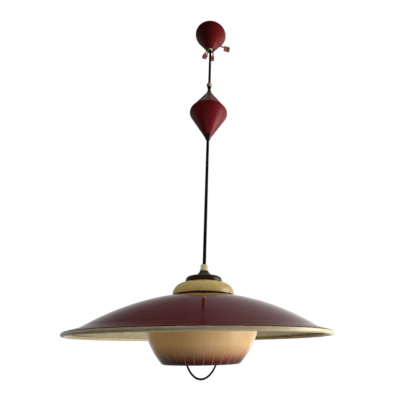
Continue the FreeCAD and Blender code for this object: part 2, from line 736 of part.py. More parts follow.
nozzle_nut = plate("nozzle_nut", "XY_Plane", d.thin_nut, hexagon(0, 0, d.nozzle_neck_radius + 1.1),
                   [(0, 0, d.nozzle_neck_radius + d.seat_gap)])
place(nozzle_nut, z=nozzle_top + d.nozzle_flange)
nodes.append(nozzle_nut)

# ---------------------------------------------------------------- reel frame

yoke_low = equator + d.frame_top - d.yoke_height
yoke_high = equator + d.frame_top
tube_low = yoke_low + 2.0
nodes.append(turned("reel_tube", [
    (d.tube_bore_radius, tube_low), (d.tube_radius, tube_low), (d.tube_radius, nipple_step),
    (d.tube_bore_radius, nipple_step)]))

bush_high = reel_top - d.shell_wall - 0.9
bush_height = 6.0
bush_top_radius = d.reel_top_radius - d.seat_gap
nodes.append(turned("shell_bush", [
    (d.tube_radius + d.seat_gap, bush_high - bush_height),
    (bush_top_radius + upper_slope * bush_height * 0.9, bush_high - bush_height),
    (bush_top_radius, bush_high), (d.tube_radius + d.seat_gap, bush_high)]))

frame_pillar_spots = [(-24.0, 0.0), (11.0, -38.0)]
plate_outline = [
    (-d.frame_end_half_width, -d.frame_top), (d.frame_end_half_width, -d.frame_top),
    (d.frame_half_width, -d.frame_shoulder), (d.frame_half_width, d.frame_shoulder),
    (d.frame_end_half_width, d.frame_top), (-d.frame_end_half_width, d.frame_top),
    (-d.frame_half_width, d.frame_shoulder), (-d.frame_half_width, -d.frame_shoulder)]
pillar_hole = d.pillar_radius * 0.6
for side, name in ((-1, "frame_plate_front"), (1, "frame_plate_back")):
    holes = [(d.drum_offset, 0, d.axle_radius + d.seat_gap)]
    holes += [(x, z, pillar_hole + d.seat_gap) for x, z in frame_pillar_spots]
    holes += [(x, d.frame_top - d.yoke_height / 2, 1.5) for x in (-6.0, 6.0)]
    side_plate = plate(name, "XZ_Plane", d.frame_plate, plate_outline, holes, middle=True)
    place(side_plate, y=(d.frame_width / 2 + d.frame_plate / 2) * side, z=equator)
    nodes.append(side_plate)

pillars = []
for number, (x, z) in enumerate(frame_pillar_spots, start=1):
    half = d.frame_width / 2
    stub = d.frame_plate + 1.2
    pillar = turned(f"frame_pillar{number}", [
        (0, -half - stub), (pillar_hole, -half - stub), (pillar_hole, -half), (d.pillar_radius, -half),
        (d.pillar_radius, half), (pillar_hole, half), (pillar_hole, half + stub), (0, half + stub)])
    place(pillar, x, 0, equator + z, (1, 0, 0), -90)
    pillars.append(pillar)
nodes.append(group("frame_pillars", pillars))

yoke = plate("reel_yoke", "XY_Plane", d.yoke_height,
             rectangle(-10, 10, -d.frame_width / 2, d.frame_width / 2),
             [(0, 0, d.tube_radius + d.seat_gap)])
sketch = new_sketch(yoke, "screw_holes", "XZ_Plane")
for x in (-6.0, 6.0):
    draw_circle(sketch, x, d.yoke_height / 2, 1.5)
pocket = yoke.newObject("PartDesign::Pocket", "reel_yoke_holes")
pocket.Profile = sketch
pocket.Type = 1
pocket.Midplane = True
yoke.Tip = pocket
place(yoke, z=yoke_low)
nodes.append(yoke)

yoke_screws = []
yoke_screw_spots = [(x, side) for x in (-6.0, 6.0) for side in (-1, 1)]
for number, (x, side) in enumerate(yoke_screw_spots, start=1):
    shank = 1.5
    depth = d.frame_plate + 4.0
    screw = turned(f"yoke_screw{number}", [
        (0, 0), (shank - 0.05, 0), (shank - 0.05, depth), (2.8, depth), (2.8, depth + 1.3),
        (2.2, depth + 1.8), (0, depth + 1.8)])
    place(screw, x, (d.frame_width / 2 - 4.0) * side, yoke_low + d.yoke_height / 2, (1, 0, 0), -90 * side)
    yoke_screws.append(screw)
nodes.append(group("yoke_screws", yoke_screws))

axle_reach = d.frame_width / 2 + d.frame_plate + 3.4
axle = turned("reel_axle", [(0, -axle_reach), (d.axle_radius, -axle_reach), (d.axle_radius, axle_reach),
                            (0, axle_reach)])
place(axle, d.drum_offset, 0, equator, (1, 0, 0), -90)
nodes.append(axle)

nuts = []
for number, side in enumerate((-1, 1), start=1):
    nut = plate(f"axle_nut{number}", "XZ_Plane", 2.8, hexagon(0, 0, 5.0),
                [(0, 0, d.axle_radius + d.seat_gap)], middle=True)
    place(nut, d.drum_offset, (d.frame_width / 2 + d.frame_plate + 1.4) * side, equator)
    nuts.append(nut)
nodes.append(group("axle_nuts", nuts))

# ---------------------------------------------------------------- drum, spring and slip rings

drum_half = d.drum_width / 2
drum_edge = drum_half + d.drum_flange
axle_bore = d.axle_radius + d.running_gap

# The drum sits beside the front plate, with the spring barrel between its flange and the plate.
barrel_depth = d.spring_width + d.spring_play * 2 + d.barrel_wall
drum_middle = drum_edge + barrel_depth + d.drum_side_gap - d.frame_width / 2


def on_drum_axis(item):
    return place(item, d.drum_offset, drum_middle, equator, (1, 0, 0), -90)


nodes.append(on_drum_axis(turned("cord_drum", [
    (axle_bore, -drum_edge), (d.drum_flange_radius, -drum_edge), (d.drum_flange_radius, -drum_half),
    (d.drum_core_radius, -drum_half), (d.drum_core_radius, drum_half),
    (d.drum_flange_radius, drum_half), (d.drum_flange_radius, drum_edge), (axle_bore, drum_edge)])))

# The turns fill the drum layer by layer, so the stored length gives the outer radius.
winding_radius = root(d.drum_core_radius * d.drum_core_radius
                      + d.stored_cord * d.cord_diameter * d.cord_diameter * 0.87
                      / (d.drum_width * math.pi))
nodes.append(on_drum_axis(ring("cord_winding", d.drum_core_radius, winding_radius,
                               -drum_half + 0.2, drum_half - 0.2)))

barrel_low = -drum_edge - barrel_depth
nodes.append(on_drum_axis(turned("spring_barrel", [
    (axle_bore + 1.5, barrel_low), (d.barrel_radius, barrel_low), (d.barrel_radius, -drum_edge),
    (d.barrel_radius - d.barrel_wall, -drum_edge), (d.barrel_radius - d.barrel_wall, barrel_low + d.barrel_wall),
    (axle_bore + 1.5, barrel_low + d.barrel_wall)])))


def spiral_edges(first_radius, pitch, half_turns, low):
    """Half circles whose centres swap sides, so that the radius grows by the pitch each turn."""
    edges = []
    start = FreeCAD.Vector(first_radius, 0, low)
    radius = first_radius
    sign = 1
    for _ in range(half_turns):
        centre = start - FreeCAD.Vector(radius * sign, 0, 0)
        top = centre + FreeCAD.Vector(0, radius * sign, 0)
        end = centre - FreeCAD.Vector(radius * sign, 0, 0)
        edges.append(Part.Arc(start, top, end).toShape())
        start = end
        radius += pitch / 2
        sign = -sign
    return edges, start


inner_turn = d.axle_radius.value
outer_turn = d.barrel_radius.value - d.barrel_wall.value - 1.2
spring_turns = int(d.spring_turns.value)
spring_pitch = (outer_turn - inner_turn) / spring_turns
spring_low = -drum_edge.value - d.spring_play.value - d.spring_width.value
inside, inside_end = spiral_edges(inner_turn, spring_pitch, spring_turns * 2, spring_low)
outside, outside_end = spiral_edges(inner_turn + d.spring_strip.value, spring_pitch, spring_turns * 2,
                                    spring_low)
strip_ends = [Part.LineSegment(inside[0].Vertexes[0].Point, outside[0].Vertexes[0].Point).toShape(),
              Part.LineSegment(inside_end, outside_end).toShape()]
strip = Part.Face(Part.Wire(Part.__sortEdges__(inside + outside + strip_ends)))
spring_solid = strip.extrude(FreeCAD.Vector(0, 0, d.spring_width.value))
mainspring = document.addObject("Part::Feature", "mainspring")
mainspring.Shape = spring_solid
mainspring.Label = "mainspring"
nodes.append(on_drum_axis(mainspring))

disc_top = drum_edge + d.contact_disc_thickness
nodes.append(on_drum_axis(ring("contact_disc", axle_bore + 1.0, d.contact_disc_radius, drum_edge, disc_top)))
rings = []
for number, inner in enumerate((d.inner_ring_radius, d.outer_ring_radius), start=1):
    rings.append(on_drum_axis(ring(f"slip_ring{number}", inner, inner + d.slip_ring_width, disc_top,
                                   disc_top + d.slip_ring_thickness)))
nodes.append(group("slip_rings", rings))

brush_gap = 0.1
brush_low = disc_top + d.slip_ring_thickness + brush_gap
block_low = brush_low + 1.2
block_reach = d.frame_width / 2 - drum_middle - block_low
block = plate("brush_block", "XY_Plane", block_reach, rectangle(-20, -6, -4, 4))
place(block, d.drum_offset, drum_middle + block_low, equator, (1, 0, 0), -90)
nodes.append(block)
brushes = []
for number, inner in enumerate((d.inner_ring_radius, d.outer_ring_radius), start=1):
    brush = cylinder(f"brush{number}", 1.2, block_low - brush_low)
    place(brush, d.drum_offset - inner - d.slip_ring_width / 2, drum_middle + brush_low, equator,
          (1, 0, 0), -90)
    brushes.append(brush)
nodes.append(group("brushes", brushes))

# Inside the reel the cord runs straight from the winding to the nozzle, on the tangent of the drum.
guide = nozzle_top.value + 4.0
layer = winding_radius.value + cord_radius.value + d.cord_gap.value
to_guide = FreeCAD.Vector(-d.drum_offset.value, 0, guide - equator.value)
way_down = math.atan2(to_guide.z, to_guide.x)
leave_angle = way_down - math.acos(layer / to_guide.Length)
leave_x = d.drum_offset.value + layer * math.cos(leave_angle)
leave_z = equator.value + layer * math.sin(leave_angle)
reel_route = [(leave_x, 0, leave_z), (0, 0, guide), (0, 0, nozzle_tip.value)]
nodes.append(bent_rod("reel_cord", reel_route, d.cord_diameter.value))

# ---------------------------------------------------------------- cord from the reel to the head

nodes.append(straight_cord("lower_cord", cord_radius, gland_top, nozzle_tip))

# ---------------------------------------------------------------- gland, cap and small dome

tube_top = cap_top + 3.0
collet_low = tube_top + 0.2
collet_high = gland_top - 2.4
gland_pocket = d.gland_neck_radius - 0.6
nodes.append(turned("cord_gland", [
    (d.tube_radius + d.seat_gap, cap_top), (d.gland_base_radius, cap_top),
    (d.gland_base_radius, cap_top + 1.0), (d.gland_base_radius - 0.3, collet_low),
    (d.gland_neck_radius, gland_top - 2.8), (d.gland_lip_radius, gland_top - 2.0),
    (d.gland_lip_radius, gland_top - 0.4), (d.gland_lip_radius - 0.4, gland_top),
    (cord_radius + d.cord_gap, gland_top), (cord_radius + d.cord_gap, collet_high),
    (gland_pocket, collet_high), (gland_pocket, collet_low), (d.tube_radius + d.seat_gap, collet_low)]))
nodes.append(ring("gland_collet", cord_radius + 0.05, gland_pocket - 0.05, collet_low, collet_high))

cap_roof = dome_top + 12.0
cap_shoulder = dome_top + 13.8
nodes.append(turned("top_cap", [
    (d.tube_radius + d.seat_gap, cap_top), (d.cap_neck_radius, cap_top),
    (d.cap_neck_radius + 0.4, cap_top - 1.6), Bend(18.0, dome_top + 15.8, 14.0, 1),
    (d.cap_radius - 7.0, cap_shoulder), Bend(d.cap_radius - 0.6, dome_top + 7.8, 7.5, -1),
    (d.cap_radius, dome_top), (d.cap_radius - d.cap_wall, dome_top),
    (d.cap_radius - d.cap_wall - 0.6, dome_top + 8.0), (d.cap_radius - 9.0, cap_roof),
    (12.0, cap_roof), (10.0, dome_top + 10.0), (d.tube_radius + d.seat_gap, dome_top + 10.0)]))

dome_flat = d.cap_radius + 0.3
dome_edge = dome_top - d.dome_height
nodes.append(turned("cover_dome", [
    (d.tube_radius + d.seat_gap, dome_top), (d.tube_radius + d.seat_gap, dome_top - d.dome_wall),
    (dome_flat - 0.4, dome_top - d.dome_wall),
    Bend(d.dome_radius - d.dome_wall, dome_edge, d.dome_curve - d.dome_wall, -1),
    (d.dome_radius, dome_edge), Bend(dome_flat, dome_top, d.dome_curve, 1)]))

nodes.append(ring("spacer_tube", d.tube_radius + d.seat_gap, d.spacer_radius, crown,
                  dome_top - d.dome_wall))

# ---------------------------------------------------------------- shade

tube_hole = d.tube_radius + d.seat_gap
kink_radius = d.shade_radius - d.shade_brim_width
kink = crown - (d.shade_curve - root(d.shade_curve * d.shade_curve - kink_radius * kink_radius))
inner_curve = d.shade_curve - d.shade_wall
inner_kink_radius = kink_radius - 0.4
inner_kink = crown - d.shade_wall - (inner_curve - root(inner_curve * inner_curve
                                                        - inner_kink_radius * inner_kink_radius))
brim_cos = cosine(d.shade_brim_angle)
brim_sin = sine(d.shade_brim_angle)
bead_x = d.shade_radius - d.shade_bead_radius
brim_run = (bead_x - kink_radius + d.shade_bead_radius * brim_sin) / brim_cos
bead_z = kink - brim_run * brim_sin - d.shade_bead_radius * brim_cos
half_root = math.sqrt(0.5)
bead_top = (bead_x + d.shade_bead_radius * brim_sin, bead_z + d.shade_bead_radius * brim_cos)
bead_low = (bead_x, bead_z - d.shade_bead_radius)
bead_in = (bead_x - d.shade_bead_radius * half_root * (brim_cos - brim_sin),
           bead_z + d.shade_bead_radius * half_root * (brim_cos + brim_sin))
nodes.append(turned("shade", [
    (tube_hole, crown), (d.spacer_radius + 4.0, crown),
    Bend(kink_radius, kink, d.shade_curve, -1), bead_top,
    Bend(bead_low[0], bead_low[1], d.shade_bead_radius, -1),
    Bend(bead_in[0], bead_in[1], d.shade_bead_radius, -1),
    (inner_kink_radius, inner_kink), Bend(d.spacer_radius + 4.0, crown - d.shade_wall, inner_curve, 1),
    (tube_hole, crown - d.shade_wall)]))

# ---------------------------------------------------------------- tube, nuts and gallery

holder_top = bowl_top - d.thin_nut
tube_end = holder_top - 6.0
nodes.append(turned("head_tube", [
    (d.tube_bore_radius, tube_end), (d.tube_radius, tube_end), (d.tube_radius, tube_top),
    (d.tube_bore_radius, tube_top)]))

nuts = []
for number, (low, height) in enumerate((
        (dome_top, 4.0), (gallery_top, d.thick_nut), (bowl_top - d.thin_nut, d.thin_nut)), start=1):
    nut = plate(f"tube_nut{number}", "XY_Plane", height, hexagon(0, 0, d.nut_half_width),
                [(0, 0, d.tube_radius + d.seat_gap)])
    place(nut, z=low)
    nuts.append(nut)
nodes.append(group("tube_nuts", nuts))

gallery_low = gallery_top - d.gallery_depth
gallery = turned("gallery", [
    (tube_hole, gallery_top), (tube_hole, bowl_top), (d.gallery_radius - d.gallery_wall, bowl_top),
    (d.gallery_radius - d.gallery_wall, gallery_low), (d.gallery_radius, gallery_low),
    (d.gallery_radius, gallery_top - 1.0), (d.gallery_radius - 1.0, gallery_top)])
drill(gallery, "XY_Plane", [(d.pull_top_spread * side, 0, d.pull_wire / 2 + d.seat_gap)
                            for side in (-1, 1)], "pull_holes")
screw_height = bowl_top - d.bowl_lip_height - 3.4
screw_angles = (90.0, 210.0, 330.0)
tap = new_sketch(gallery, "tap", "YZ_Plane")
draw_circle(tap, 0, screw_height, d.gallery_screw_radius + d.seat_gap)
tap_cut = gallery.newObject("PartDesign::Pocket", "gallery_tap_cut")
tap_cut.Profile = tap
tap_cut.Type = 1
tap_cut.Reversed = True
around = gallery.newObject("PartDesign::PolarPattern", "gallery_taps")
around.Originals = [tap_cut]
around.Axis = (origin_item(gallery, "Z_Axis"), [""])
around.Angle = 360
around.Occurrences = 3
gallery.Tip = around
nodes.append(gallery)

gallery_screws = []
screw_tip = d.bowl_neck_radius + 0.1
screw_length = d.gallery_radius + 2.0 - screw_tip
for number in range(3):
    screw = turned(f"gallery_screw{number + 1}", [
        (0, 0), (d.gallery_screw_radius, 0), (d.gallery_screw_radius, screw_length),
        (d.thumb_head_radius, screw_length), (d.thumb_head_radius, screw_length + 4.0),
        (0, screw_length + 4.0)])
    turn = math.radians(120 * number)
    way = FreeCAD.Vector(math.cos(turn), math.sin(turn), 0)
    place(screw, screw_tip * way.x, screw_tip * way.y, screw_height)
    screw.Placement = FreeCAD.Placement(
        screw.Placement.Base, FreeCAD.Rotation(FreeCAD.Vector(0, 0, 1), way))
    gallery_screws.append(screw)
nodes.append(group("gallery_screws", gallery_screws))

# ---------------------------------------------------------------- diffuser bowl

lip_top = bowl_top - 0.2
lip_low = bowl_top - d.bowl_lip_height
neck_low = bowl_top - d.bowl_neck_height
side_top = bowl_mouth + d.bowl_widest_rise
# The shoulder carries on the curve of the side, so its centre lies on the side's radius.
chord_x = d.bowl_widest_radius - d.bowl_mouth_radius
chord = root(chord_x * chord_x + d.bowl_widest_rise * d.bowl_widest_rise)
reach = root(d.bowl_side_curve * d.bowl_side_curve - chord * chord / 4)
side_centre_x = (d.bowl_mouth_radius + d.bowl_widest_radius) / 2 - d.bowl_widest_rise / chord * reach
side_centre_z = (bowl_mouth + side_top) / 2 + chord_x / chord * reach
shoulder_x = d.bowl_widest_radius - (d.bowl_widest_radius - side_centre_x) * d.bowl_shoulder_radius / d.bowl_side_curve
shoulder_z = side_top - (side_top - side_centre_z) * d.bowl_shoulder_radius / d.bowl_side_curve
inner_share = d.bowl_wall / d.bowl_side_curve
inner_mouth_x = d.bowl_mouth_radius - (d.bowl_mouth_radius - side_centre_x) * inner_share
inner_mouth_z = bowl_mouth - (bowl_mouth - side_centre_z) * inner_share
inner_side_x = d.bowl_widest_radius - (d.bowl_widest_radius - side_centre_x) * inner_share
inner_side_z = side_top - (side_top - side_centre_z) * inner_share
inner_shoulder = d.bowl_shoulder_radius - d.bowl_wall
neck_inner = d.bowl_neck_radius - d.bowl_wall
nodes.append(turned("diffuser_bowl", [
    (d.bowl_mouth_radius - d.bowl_wall, bowl_mouth + 0.6), (d.bowl_mouth_radius, bowl_mouth),
    Bend(d.bowl_widest_radius, side_top, d.bowl_side_curve, 1),
    Bend(shoulder_x, shoulder_z + d.bowl_shoulder_radius, d.bowl_shoulder_radius, 1),
    (d.bowl_neck_radius, neck_low), (d.bowl_neck_radius, lip_low - 0.8), (d.bowl_lip_radius, lip_low),
    (d.bowl_lip_radius, lip_top), (neck_inner, lip_top), (neck_inner, neck_low - d.bowl_wall),
    (shoulder_x, shoulder_z + inner_shoulder), Bend(inner_side_x, inner_side_z, inner_shoulder, -1),
    Bend(inner_mouth_x, inner_mouth_z, d.bowl_side_curve - d.bowl_wall, -1)]))

# ---------------------------------------------------------------- lampholder

holder_step = holder_top - d.holder_cap_height
nodes.append(turned("lampholder_cap", [
    (tube_hole, holder_top), (9.0, holder_top), Bend(d.holder_cap_radius, holder_top - 9.0, 9.5, -1),
    (d.holder_cap_radius, holder_step), (d.holder_cap_radius - 2.0, holder_step),
    (d.holder_cap_radius - 2.0, holder_top - 8.0), (tube_hole + 2.0, holder_top - 6.0),
    (tube_hole, holder_top - 6.0)]))
holder_low = holder_step - d.holder_body_height
nodes.append(turned("lampholder_body", [
    (d.holder_bore_radius, holder_low), (d.holder_radius - 1.0, holder_low),
    (d.holder_radius, holder_low + 2.0), (d.holder_radius, holder_step),
    (d.holder_cap_radius + 0.2, holder_step), (4.0, holder_step),
    (4.0, holder_step - 4.0), (d.holder_bore_radius, holder_step - 4.0)]))
shell_high = holder_low + 2.0 + d.thread_shell_height
nodes.append(ring("lampholder_shell", d.thread_shell_radius, d.holder_bore_radius - 0.05,
                  holder_low + 2.0, shell_high))
nodes.append(ring("lampholder_contact", 4.0, 6.5, holder_step - 5.0, holder_step - 4.0))
nodes.append(straight_cord("head_cord", cord_radius, holder_top - 10.0, gland_top))

# ---------------------------------------------------------------- wire pull

pull_low = bowl_mouth - d.pull_drop
pull_centre = pull_low + d.pull_loop_radius
pull_top = gallery_top + d.pull_nut_height
spread = d.pull_top_spread.value
loop = d.pull_loop_radius.value
lift = pull_centre.value
elbow = bowl_top.value - 26.0
start = FreeCAD.Vector(-loop, 0, lift)
end = FreeCAD.Vector(loop, 0, lift)
arms = []
for side in (-1, 1):
    arm = [FreeCAD.Vector(side * loop, 0, lift), FreeCAD.Vector(side * (loop + 0.8), 0, lift + 8.0),
           FreeCAD.Vector(side * spread, 0, elbow), FreeCAD.Vector(side * spread, 0, pull_top.value)]
    arms.append(bent_path([tuple(point) for point in arm])[0])
half_round = Part.Arc(start, FreeCAD.Vector(0, 0, pull_low.value), end).toShape()
pull_edges = arms[0].Edges + [half_round] + arms[1].Edges
pull_path = Part.Wire(Part.__sortEdges__(pull_edges))
wire_start = FreeCAD.Vector(-spread, 0, pull_top.value)
wire_profile = Part.Wire(Part.makeCircle(d.pull_wire.value / 2, wire_start, FreeCAD.Vector(0, 0, 1)))
pull = document.addObject("Part::Feature", "pull_handle")
pull.Shape = pull_path.makePipeShell([wire_profile], True, False)
pull.Label = "pull_handle"
print(f"pull_handle: length {pull_path.Length:.1f} mm")
nodes.append(pull)

pull_nuts = []
for number, (side, low) in enumerate((
        (-1, gallery_top), (1, gallery_top), (-1, bowl_top - d.pull_nut_height),
        (1, bowl_top - d.pull_nut_height)), start=1):
    nut = plate(f"pull_nut{number}", "XY_Plane", d.pull_nut_height, hexagon(0, 0, d.pull_nut_radius),
                [(0, 0, d.pull_wire / 2 + 0.05)])
    place(nut, d.pull_top_spread * side, 0, low)
    pull_nuts.append(nut)
nodes.append(group("pull_nuts", pull_nuts))

# ---------------------------------------------------------------- check and write

document.recompute()
for item in document.Objects:
    if "Invalid" in item.State or "Error" in item.State:
        raise RuntimeError(f"{item.Label} did not build: {item.State}")
for item in nodes:
    if item.Shape.isNull() or not item.Shape.isValid():
        raise RuntimeError(f"{item.Label} has no valid shape")

os.makedirs("parts", exist_ok=True)
for item in nodes:
    item.Shape.exportStep(f"parts/{item.Label}.step")
print(len(nodes), "nodes")
print("bottom of the pull", round(pull_low.value - d.pull_wire.value / 2, 1))
print("drum turns", round(1000 / layer, 3), "rad for each metre of cord; winding radius", round(winding_radius.value, 2))
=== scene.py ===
import json
import math

import bmesh
import bpy
from mathutils import Matrix, Vector
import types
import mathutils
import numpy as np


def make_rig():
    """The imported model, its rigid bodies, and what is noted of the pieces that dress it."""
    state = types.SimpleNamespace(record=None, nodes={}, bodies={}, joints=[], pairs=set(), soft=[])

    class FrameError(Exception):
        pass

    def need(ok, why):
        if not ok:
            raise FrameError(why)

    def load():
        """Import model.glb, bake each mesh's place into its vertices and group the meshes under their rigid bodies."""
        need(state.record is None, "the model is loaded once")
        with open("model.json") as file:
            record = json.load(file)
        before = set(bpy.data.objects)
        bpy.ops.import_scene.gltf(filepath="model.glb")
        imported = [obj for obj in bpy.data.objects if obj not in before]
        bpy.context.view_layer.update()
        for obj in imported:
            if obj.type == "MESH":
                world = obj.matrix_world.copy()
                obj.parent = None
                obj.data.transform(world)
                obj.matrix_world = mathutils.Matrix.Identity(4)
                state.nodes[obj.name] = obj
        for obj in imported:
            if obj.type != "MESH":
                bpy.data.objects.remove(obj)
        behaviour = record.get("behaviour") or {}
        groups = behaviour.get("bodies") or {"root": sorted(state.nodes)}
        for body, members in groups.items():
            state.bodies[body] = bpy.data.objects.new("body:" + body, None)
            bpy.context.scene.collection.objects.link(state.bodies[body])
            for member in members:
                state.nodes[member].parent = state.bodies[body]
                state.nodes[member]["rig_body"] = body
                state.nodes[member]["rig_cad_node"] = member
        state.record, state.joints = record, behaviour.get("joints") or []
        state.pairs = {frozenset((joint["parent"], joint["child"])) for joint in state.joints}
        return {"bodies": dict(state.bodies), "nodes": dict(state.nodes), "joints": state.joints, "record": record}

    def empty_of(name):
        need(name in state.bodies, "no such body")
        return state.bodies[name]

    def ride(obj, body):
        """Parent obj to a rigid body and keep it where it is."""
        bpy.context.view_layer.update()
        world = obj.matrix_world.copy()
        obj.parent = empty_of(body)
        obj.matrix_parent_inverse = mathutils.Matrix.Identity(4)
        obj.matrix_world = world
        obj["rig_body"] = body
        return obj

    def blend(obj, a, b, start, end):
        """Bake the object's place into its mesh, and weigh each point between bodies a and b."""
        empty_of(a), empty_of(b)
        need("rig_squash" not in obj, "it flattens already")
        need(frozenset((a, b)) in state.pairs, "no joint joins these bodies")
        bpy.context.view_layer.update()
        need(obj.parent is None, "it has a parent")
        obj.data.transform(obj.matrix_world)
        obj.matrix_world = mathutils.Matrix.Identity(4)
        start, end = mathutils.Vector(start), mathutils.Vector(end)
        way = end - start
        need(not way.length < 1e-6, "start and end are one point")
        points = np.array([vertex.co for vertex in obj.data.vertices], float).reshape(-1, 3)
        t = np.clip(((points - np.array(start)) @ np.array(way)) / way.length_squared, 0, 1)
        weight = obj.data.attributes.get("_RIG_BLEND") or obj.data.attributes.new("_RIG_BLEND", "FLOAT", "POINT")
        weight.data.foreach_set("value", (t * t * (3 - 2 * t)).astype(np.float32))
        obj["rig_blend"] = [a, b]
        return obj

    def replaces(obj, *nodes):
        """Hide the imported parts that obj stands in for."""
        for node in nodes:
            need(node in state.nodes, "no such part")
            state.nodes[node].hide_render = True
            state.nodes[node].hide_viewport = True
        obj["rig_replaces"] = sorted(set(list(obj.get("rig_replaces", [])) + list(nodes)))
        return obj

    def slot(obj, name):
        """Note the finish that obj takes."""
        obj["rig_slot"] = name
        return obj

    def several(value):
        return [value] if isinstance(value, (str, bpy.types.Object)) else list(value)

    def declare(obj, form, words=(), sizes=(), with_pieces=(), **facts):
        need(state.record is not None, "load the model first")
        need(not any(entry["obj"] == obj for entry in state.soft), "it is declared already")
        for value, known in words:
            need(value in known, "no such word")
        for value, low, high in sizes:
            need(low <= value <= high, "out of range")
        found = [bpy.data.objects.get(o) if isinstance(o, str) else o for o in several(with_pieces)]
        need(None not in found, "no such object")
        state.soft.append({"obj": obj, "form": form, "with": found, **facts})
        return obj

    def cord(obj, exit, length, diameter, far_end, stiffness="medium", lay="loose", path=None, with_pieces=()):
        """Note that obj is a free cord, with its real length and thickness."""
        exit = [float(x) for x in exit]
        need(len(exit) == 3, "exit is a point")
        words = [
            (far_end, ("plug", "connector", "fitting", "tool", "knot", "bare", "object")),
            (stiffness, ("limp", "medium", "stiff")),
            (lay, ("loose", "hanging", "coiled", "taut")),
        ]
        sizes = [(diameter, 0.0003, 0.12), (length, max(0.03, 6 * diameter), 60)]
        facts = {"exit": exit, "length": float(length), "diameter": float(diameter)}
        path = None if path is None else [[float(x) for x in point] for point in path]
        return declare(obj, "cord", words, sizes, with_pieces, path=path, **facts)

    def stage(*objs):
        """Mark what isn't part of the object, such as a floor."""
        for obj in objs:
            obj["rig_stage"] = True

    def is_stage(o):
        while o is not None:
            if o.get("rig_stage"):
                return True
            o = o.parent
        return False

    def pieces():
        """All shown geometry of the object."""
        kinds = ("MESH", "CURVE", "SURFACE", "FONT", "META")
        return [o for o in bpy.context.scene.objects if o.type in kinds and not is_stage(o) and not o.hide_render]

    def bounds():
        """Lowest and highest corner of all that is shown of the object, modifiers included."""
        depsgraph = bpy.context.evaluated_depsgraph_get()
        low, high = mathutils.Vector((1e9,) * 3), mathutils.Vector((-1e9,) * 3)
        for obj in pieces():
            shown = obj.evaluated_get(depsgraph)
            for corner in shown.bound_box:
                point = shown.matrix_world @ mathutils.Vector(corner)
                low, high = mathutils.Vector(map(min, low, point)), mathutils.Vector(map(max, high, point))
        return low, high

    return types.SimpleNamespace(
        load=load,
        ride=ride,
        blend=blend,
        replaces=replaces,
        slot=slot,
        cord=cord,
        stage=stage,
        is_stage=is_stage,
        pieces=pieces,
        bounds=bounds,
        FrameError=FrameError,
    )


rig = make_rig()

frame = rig.load()
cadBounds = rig.bounds()
mm = 0.001  # metres
print("frame loaded")

photoView = {
    "distance": 0.5681,
    "level": -0.864,
    "yaw": 4.98,
    "pitch": 28.01,
    "roll": -0.73,
    "lens": 25.65,
    "shiftX": -0.0703,
    "shiftY": -0.008,
}


# below and in front of the cord line, looking up, as the photograph was taken
def makeCamera(view):
    yaw, pitch, roll = (math.radians(view[key]) for key in ("yaw", "pitch", "roll"))
    right = Vector((math.cos(yaw), -math.sin(yaw), 0))
    ahead = Vector((math.sin(yaw) * math.cos(pitch), math.cos(yaw) * math.cos(pitch), math.sin(pitch)))
    up = right.cross(ahead)
    sideways = right * math.cos(roll) + up * math.sin(roll)
    upwards = up * math.cos(roll) - right * math.sin(roll)
    data = bpy.data.cameras.new("photoCamera")
    data.lens = view["lens"]
    data.sensor_width = 36
    data.shift_x = view["shiftX"]
    data.shift_y = view["shiftY"]
    data.clip_start = 0.01
    camera = bpy.data.objects.new("photoCamera", data)
    bpy.context.collection.objects.link(camera)
    turn = Matrix((sideways, upwards, -ahead)).transposed().to_4x4()
    camera.matrix_world = Matrix.Translation((0, -view["distance"], view["level"])) @ turn
    bpy.context.scene.camera = camera


makeCamera(photoView)
print("camera placed")


# a node material that reads Object coordinates
class Shader:
    def __init__(self, name):
        self.material = bpy.data.materials.new(name)
        self.material.use_nodes = True
        self.tree = self.material.node_tree
        self.tree.nodes.clear()
        self.output = self.tree.nodes.new("ShaderNodeOutputMaterial")
        self.surface = self.tree.nodes.new("ShaderNodeBsdfPrincipled")
        self.tree.links.new(self.surface.outputs["BSDF"], self.output.inputs["Surface"])
        self.place = self.tree.nodes.new("ShaderNodeTexCoord").outputs["Object"]

    def put(self, kind, inputs=(), **settings):
        node = self.tree.nodes.new(kind)
        for key, value in settings.items():
            setattr(node, key, value)
        for key, value in dict(inputs).items():
            self.give(node.inputs[key], value)
        return node

    def give(self, socket, value):
        if isinstance(value, bpy.types.NodeSocket):
            self.tree.links.new(value, socket)
        else:
            socket.default_value = value

    def set(self, **values):
        for key, value in values.items():
            self.give(self.surface.inputs[key.replace("_", " ")], value)
        return self

    def noise(self, scale, detail=3.0, stretch=None, distortion=0.0):
        place = self.place
        if stretch:
            place = self.put("ShaderNodeMapping", {"Vector": place, "Scale": stretch}).outputs["Vector"]
        return self.put("ShaderNodeTexNoise", {
            "Vector": place, "Scale": scale, "Detail": detail, "Distortion": distortion}).outputs["Fac"]

    def spread(self, source, low, high, fromLow=0.35, fromHigh=0.65):
        return self.put("ShaderNodeMapRange", {
            "Value": source, "From Min": fromLow, "From Max": fromHigh, "To Min": low,
            "To Max": high}).outputs["Result"]

    def maths(self, operation, first, second=0.0, third=0.0):
        node = self.put("ShaderNodeMath", operation=operation)
        for socket, value in zip(node.inputs, (first, second, third)):
            self.give(socket, value)
        return node.outputs[0]

    def mix(self, share, first, second):
        node = self.put("ShaderNodeMix", data_type="RGBA")
        self.give(node.inputs["Factor"], share)
        self.give(node.inputs[6], first)
        self.give(node.inputs[7], second)
        return node.outputs[2]

    def bump(self, height, strength, distance):
        node = self.put("ShaderNodeBump", {"Height": height, "Strength": strength, "Distance": distance})
        self.tree.links.new(node.outputs["Normal"], self.surface.inputs["Normal"])
        return self


